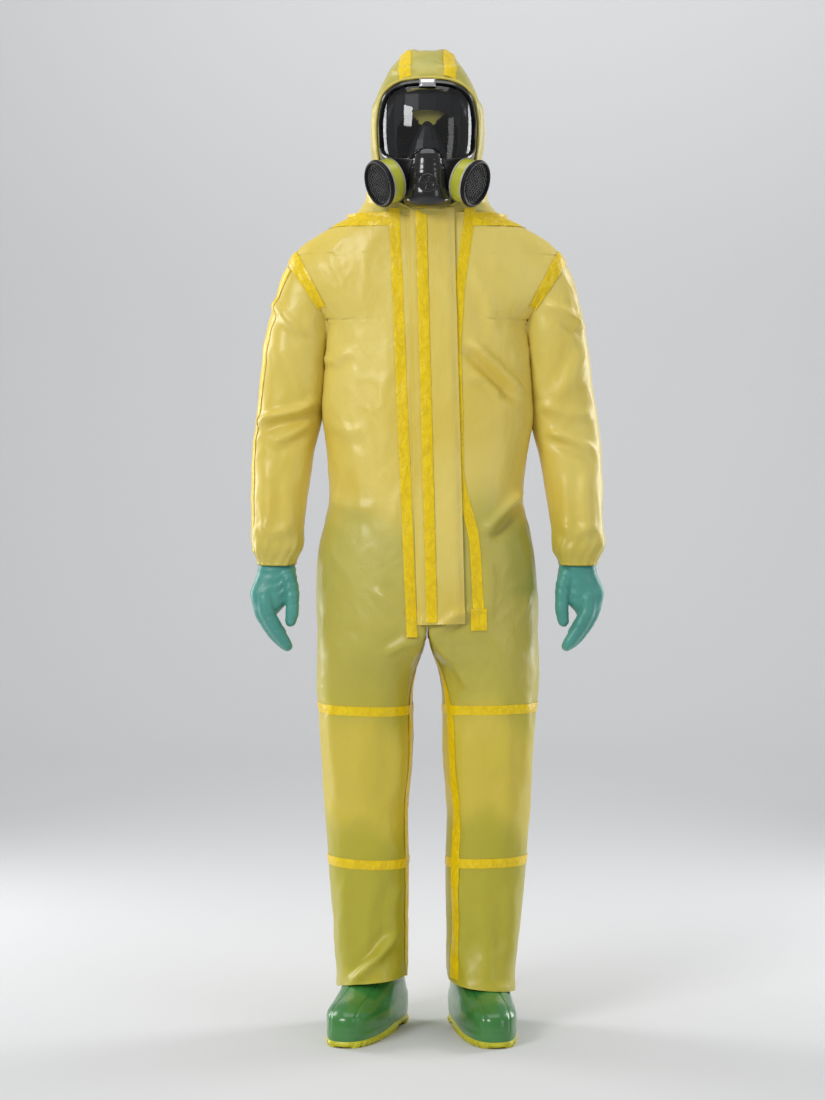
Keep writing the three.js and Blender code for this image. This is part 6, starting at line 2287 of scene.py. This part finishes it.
@dataclass
class Studio:
    """A pale floor that curves up into a backdrop, soft lamps and the camera."""

    eye: tuple[float, float, float] = (-0.0275, -5.2 + SHIFT_Y / 1000, 1.1)
    target: tuple[float, float, float] = (-0.0275, SHIFT_Y / 1000, 0.9065)
    view: float = 22.65

    def build(self) -> None:
        """Makes floor, lamps and camera."""
        self.floor()
        self.lamp("key", (-2.6, -3.4, 3.1), (0, 0, 1.1), (1.6, 1.6), 92.0)
        self.lamp("fill", (3.4, -3.0, 1.7), (0, 0, 0.9), (1.2, 2.2), 16.0)
        self.lamp("top", (0.0, -0.2, 4.2), (0, 0, 0.9), (3.0, 2.4), 38.0)
        for side in Side:
            self.lamp("strip_" + side.word, (2.15 * side.value, 1.35, 1.5), (0, 0, 1.2), (0.9, 2.3), 36.0)
        self.lamp("back", (0.5, 3.3, 4.4), (0.3, 6.3, 2.0), (5.0, 1.2), 92.0)
        world = bpy.data.worlds.new("room")
        bpy.context.scene.world = world
        world.use_nodes = True
        world.node_tree.nodes["Background"].inputs[0].default_value = rgb(0.90, 0.91, 0.93)
        world.node_tree.nodes["Background"].inputs[1].default_value = 0.36
        bpy.context.scene.view_settings.view_transform = "Standard"
        self.camera()

    def floor(self) -> None:
        """A sheet along Y: flat, then a quarter circle, then upright."""
        t = np.linspace(0.0, 1.0, 120)
        run, rise, bend = 13.6, 8.0, 1.8
        length = run + bend * math.pi / 2 + rise
        s = t * length
        turn = np.clip((s - run) / bend, 0.0, math.pi / 2)
        y = -9.0 + np.minimum(s, run) + bend * np.sin(turn)
        z = bend * (1 - np.cos(turn)) + np.maximum(s - run - bend * math.pi / 2, 0.0)
        x = np.linspace(-12.0, 12.0, 3)
        points = np.stack([np.repeat(x[None], 120, 0), np.repeat(y[:, None], 3, 1),
                           np.repeat(z[:, None], 3, 1)], -1)
        number = np.arange(360).reshape(120, 3)
        faces = np.stack([number[:-1, :-1], number[:-1, 1:], number[1:, 1:], number[1:, :-1]],
                         -1).reshape(-1, 4)
        sheet = bpy.data.objects.new("backdrop", mesh_from("backdrop", points.reshape(-1, 3), faces))
        bpy.context.scene.collection.objects.link(sheet)
        board = Board("paper")
        board.set(Base_Color=rgb(0.70, 0.705, 0.715), Roughness=0.85)
        sheet.data.materials.append(board.material)

    def lamp(self, name: str, position: Sequence[float], aim: Sequence[float], size: tuple[float, float],
             power: float) -> None:
        """A rectangular soft lamp aimed at a point."""
        data = bpy.data.lights.new(name, "AREA")
        data.shape, data.size, data.size_y, data.energy = "RECTANGLE", size[0], size[1], power
        lamp = bpy.data.objects.new(name, data)
        lamp.visible_camera = False
        lamp.location = position
        lamp.rotation_euler = (Vector(aim) - Vector(position)).to_track_quat("-Z", "Y").to_euler()
        bpy.context.scene.collection.objects.link(lamp)

    def camera(self) -> None:
        """The camera, level with the chest, its height of view given as an angle."""
        data = bpy.data.cameras.new("view")
        data.sensor_fit, data.angle = "VERTICAL", math.radians(self.view)
        camera = bpy.data.objects.new("view", data)
        camera.location = self.eye
        camera.rotation_euler = (Vector(self.target) - Vector(self.eye)).to_track_quat("-Z", "Y").to_euler()
        bpy.context.scene.collection.objects.link(camera)
        bpy.context.scene.camera = camera


def dress_frame(finishes: Finishes) -> None:
    """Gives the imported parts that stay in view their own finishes.

    Args:
        finishes: The made materials.
    """
    chosen = {"zip_slider": finishes.steel, "zip_pull": finishes.black_plastic,
              "face_seal": finishes.black_rubber,
              "nose_cup": finishes.black_rubber, "exhalation_valve_disc": finishes.black_rubber,
              "inlet_connector_left": finishes.black_plastic, "inlet_connector_right": finishes.black_plastic}
    for name, finish in chosen.items():
        piece = bpy.data.objects[name]
        if not piece.material_slots:
            piece.data.materials.append(finish)
        for slot in piece.material_slots:
            slot.material = finish


def main() -> None:
    """Loads the frame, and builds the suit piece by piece."""
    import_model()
    Studio().build()
    finishes = Finishes()
    parts = (Trunk(finishes), SeamTapes(finishes), Sleeves(finishes), Closure(finishes),
             Hood(finishes), Mask(finishes), Gloves(finishes), Boots(finishes))
    for part in parts:
        for piece in part.build():
            LOG.info("%s: %s, %d faces", type(part).__name__, piece.name, len(piece.data.polygons))
    dress_frame(finishes)


if __name__ == "__main__":
    logging.basicConfig(level=logging.INFO, format="%(message)s")
    main()
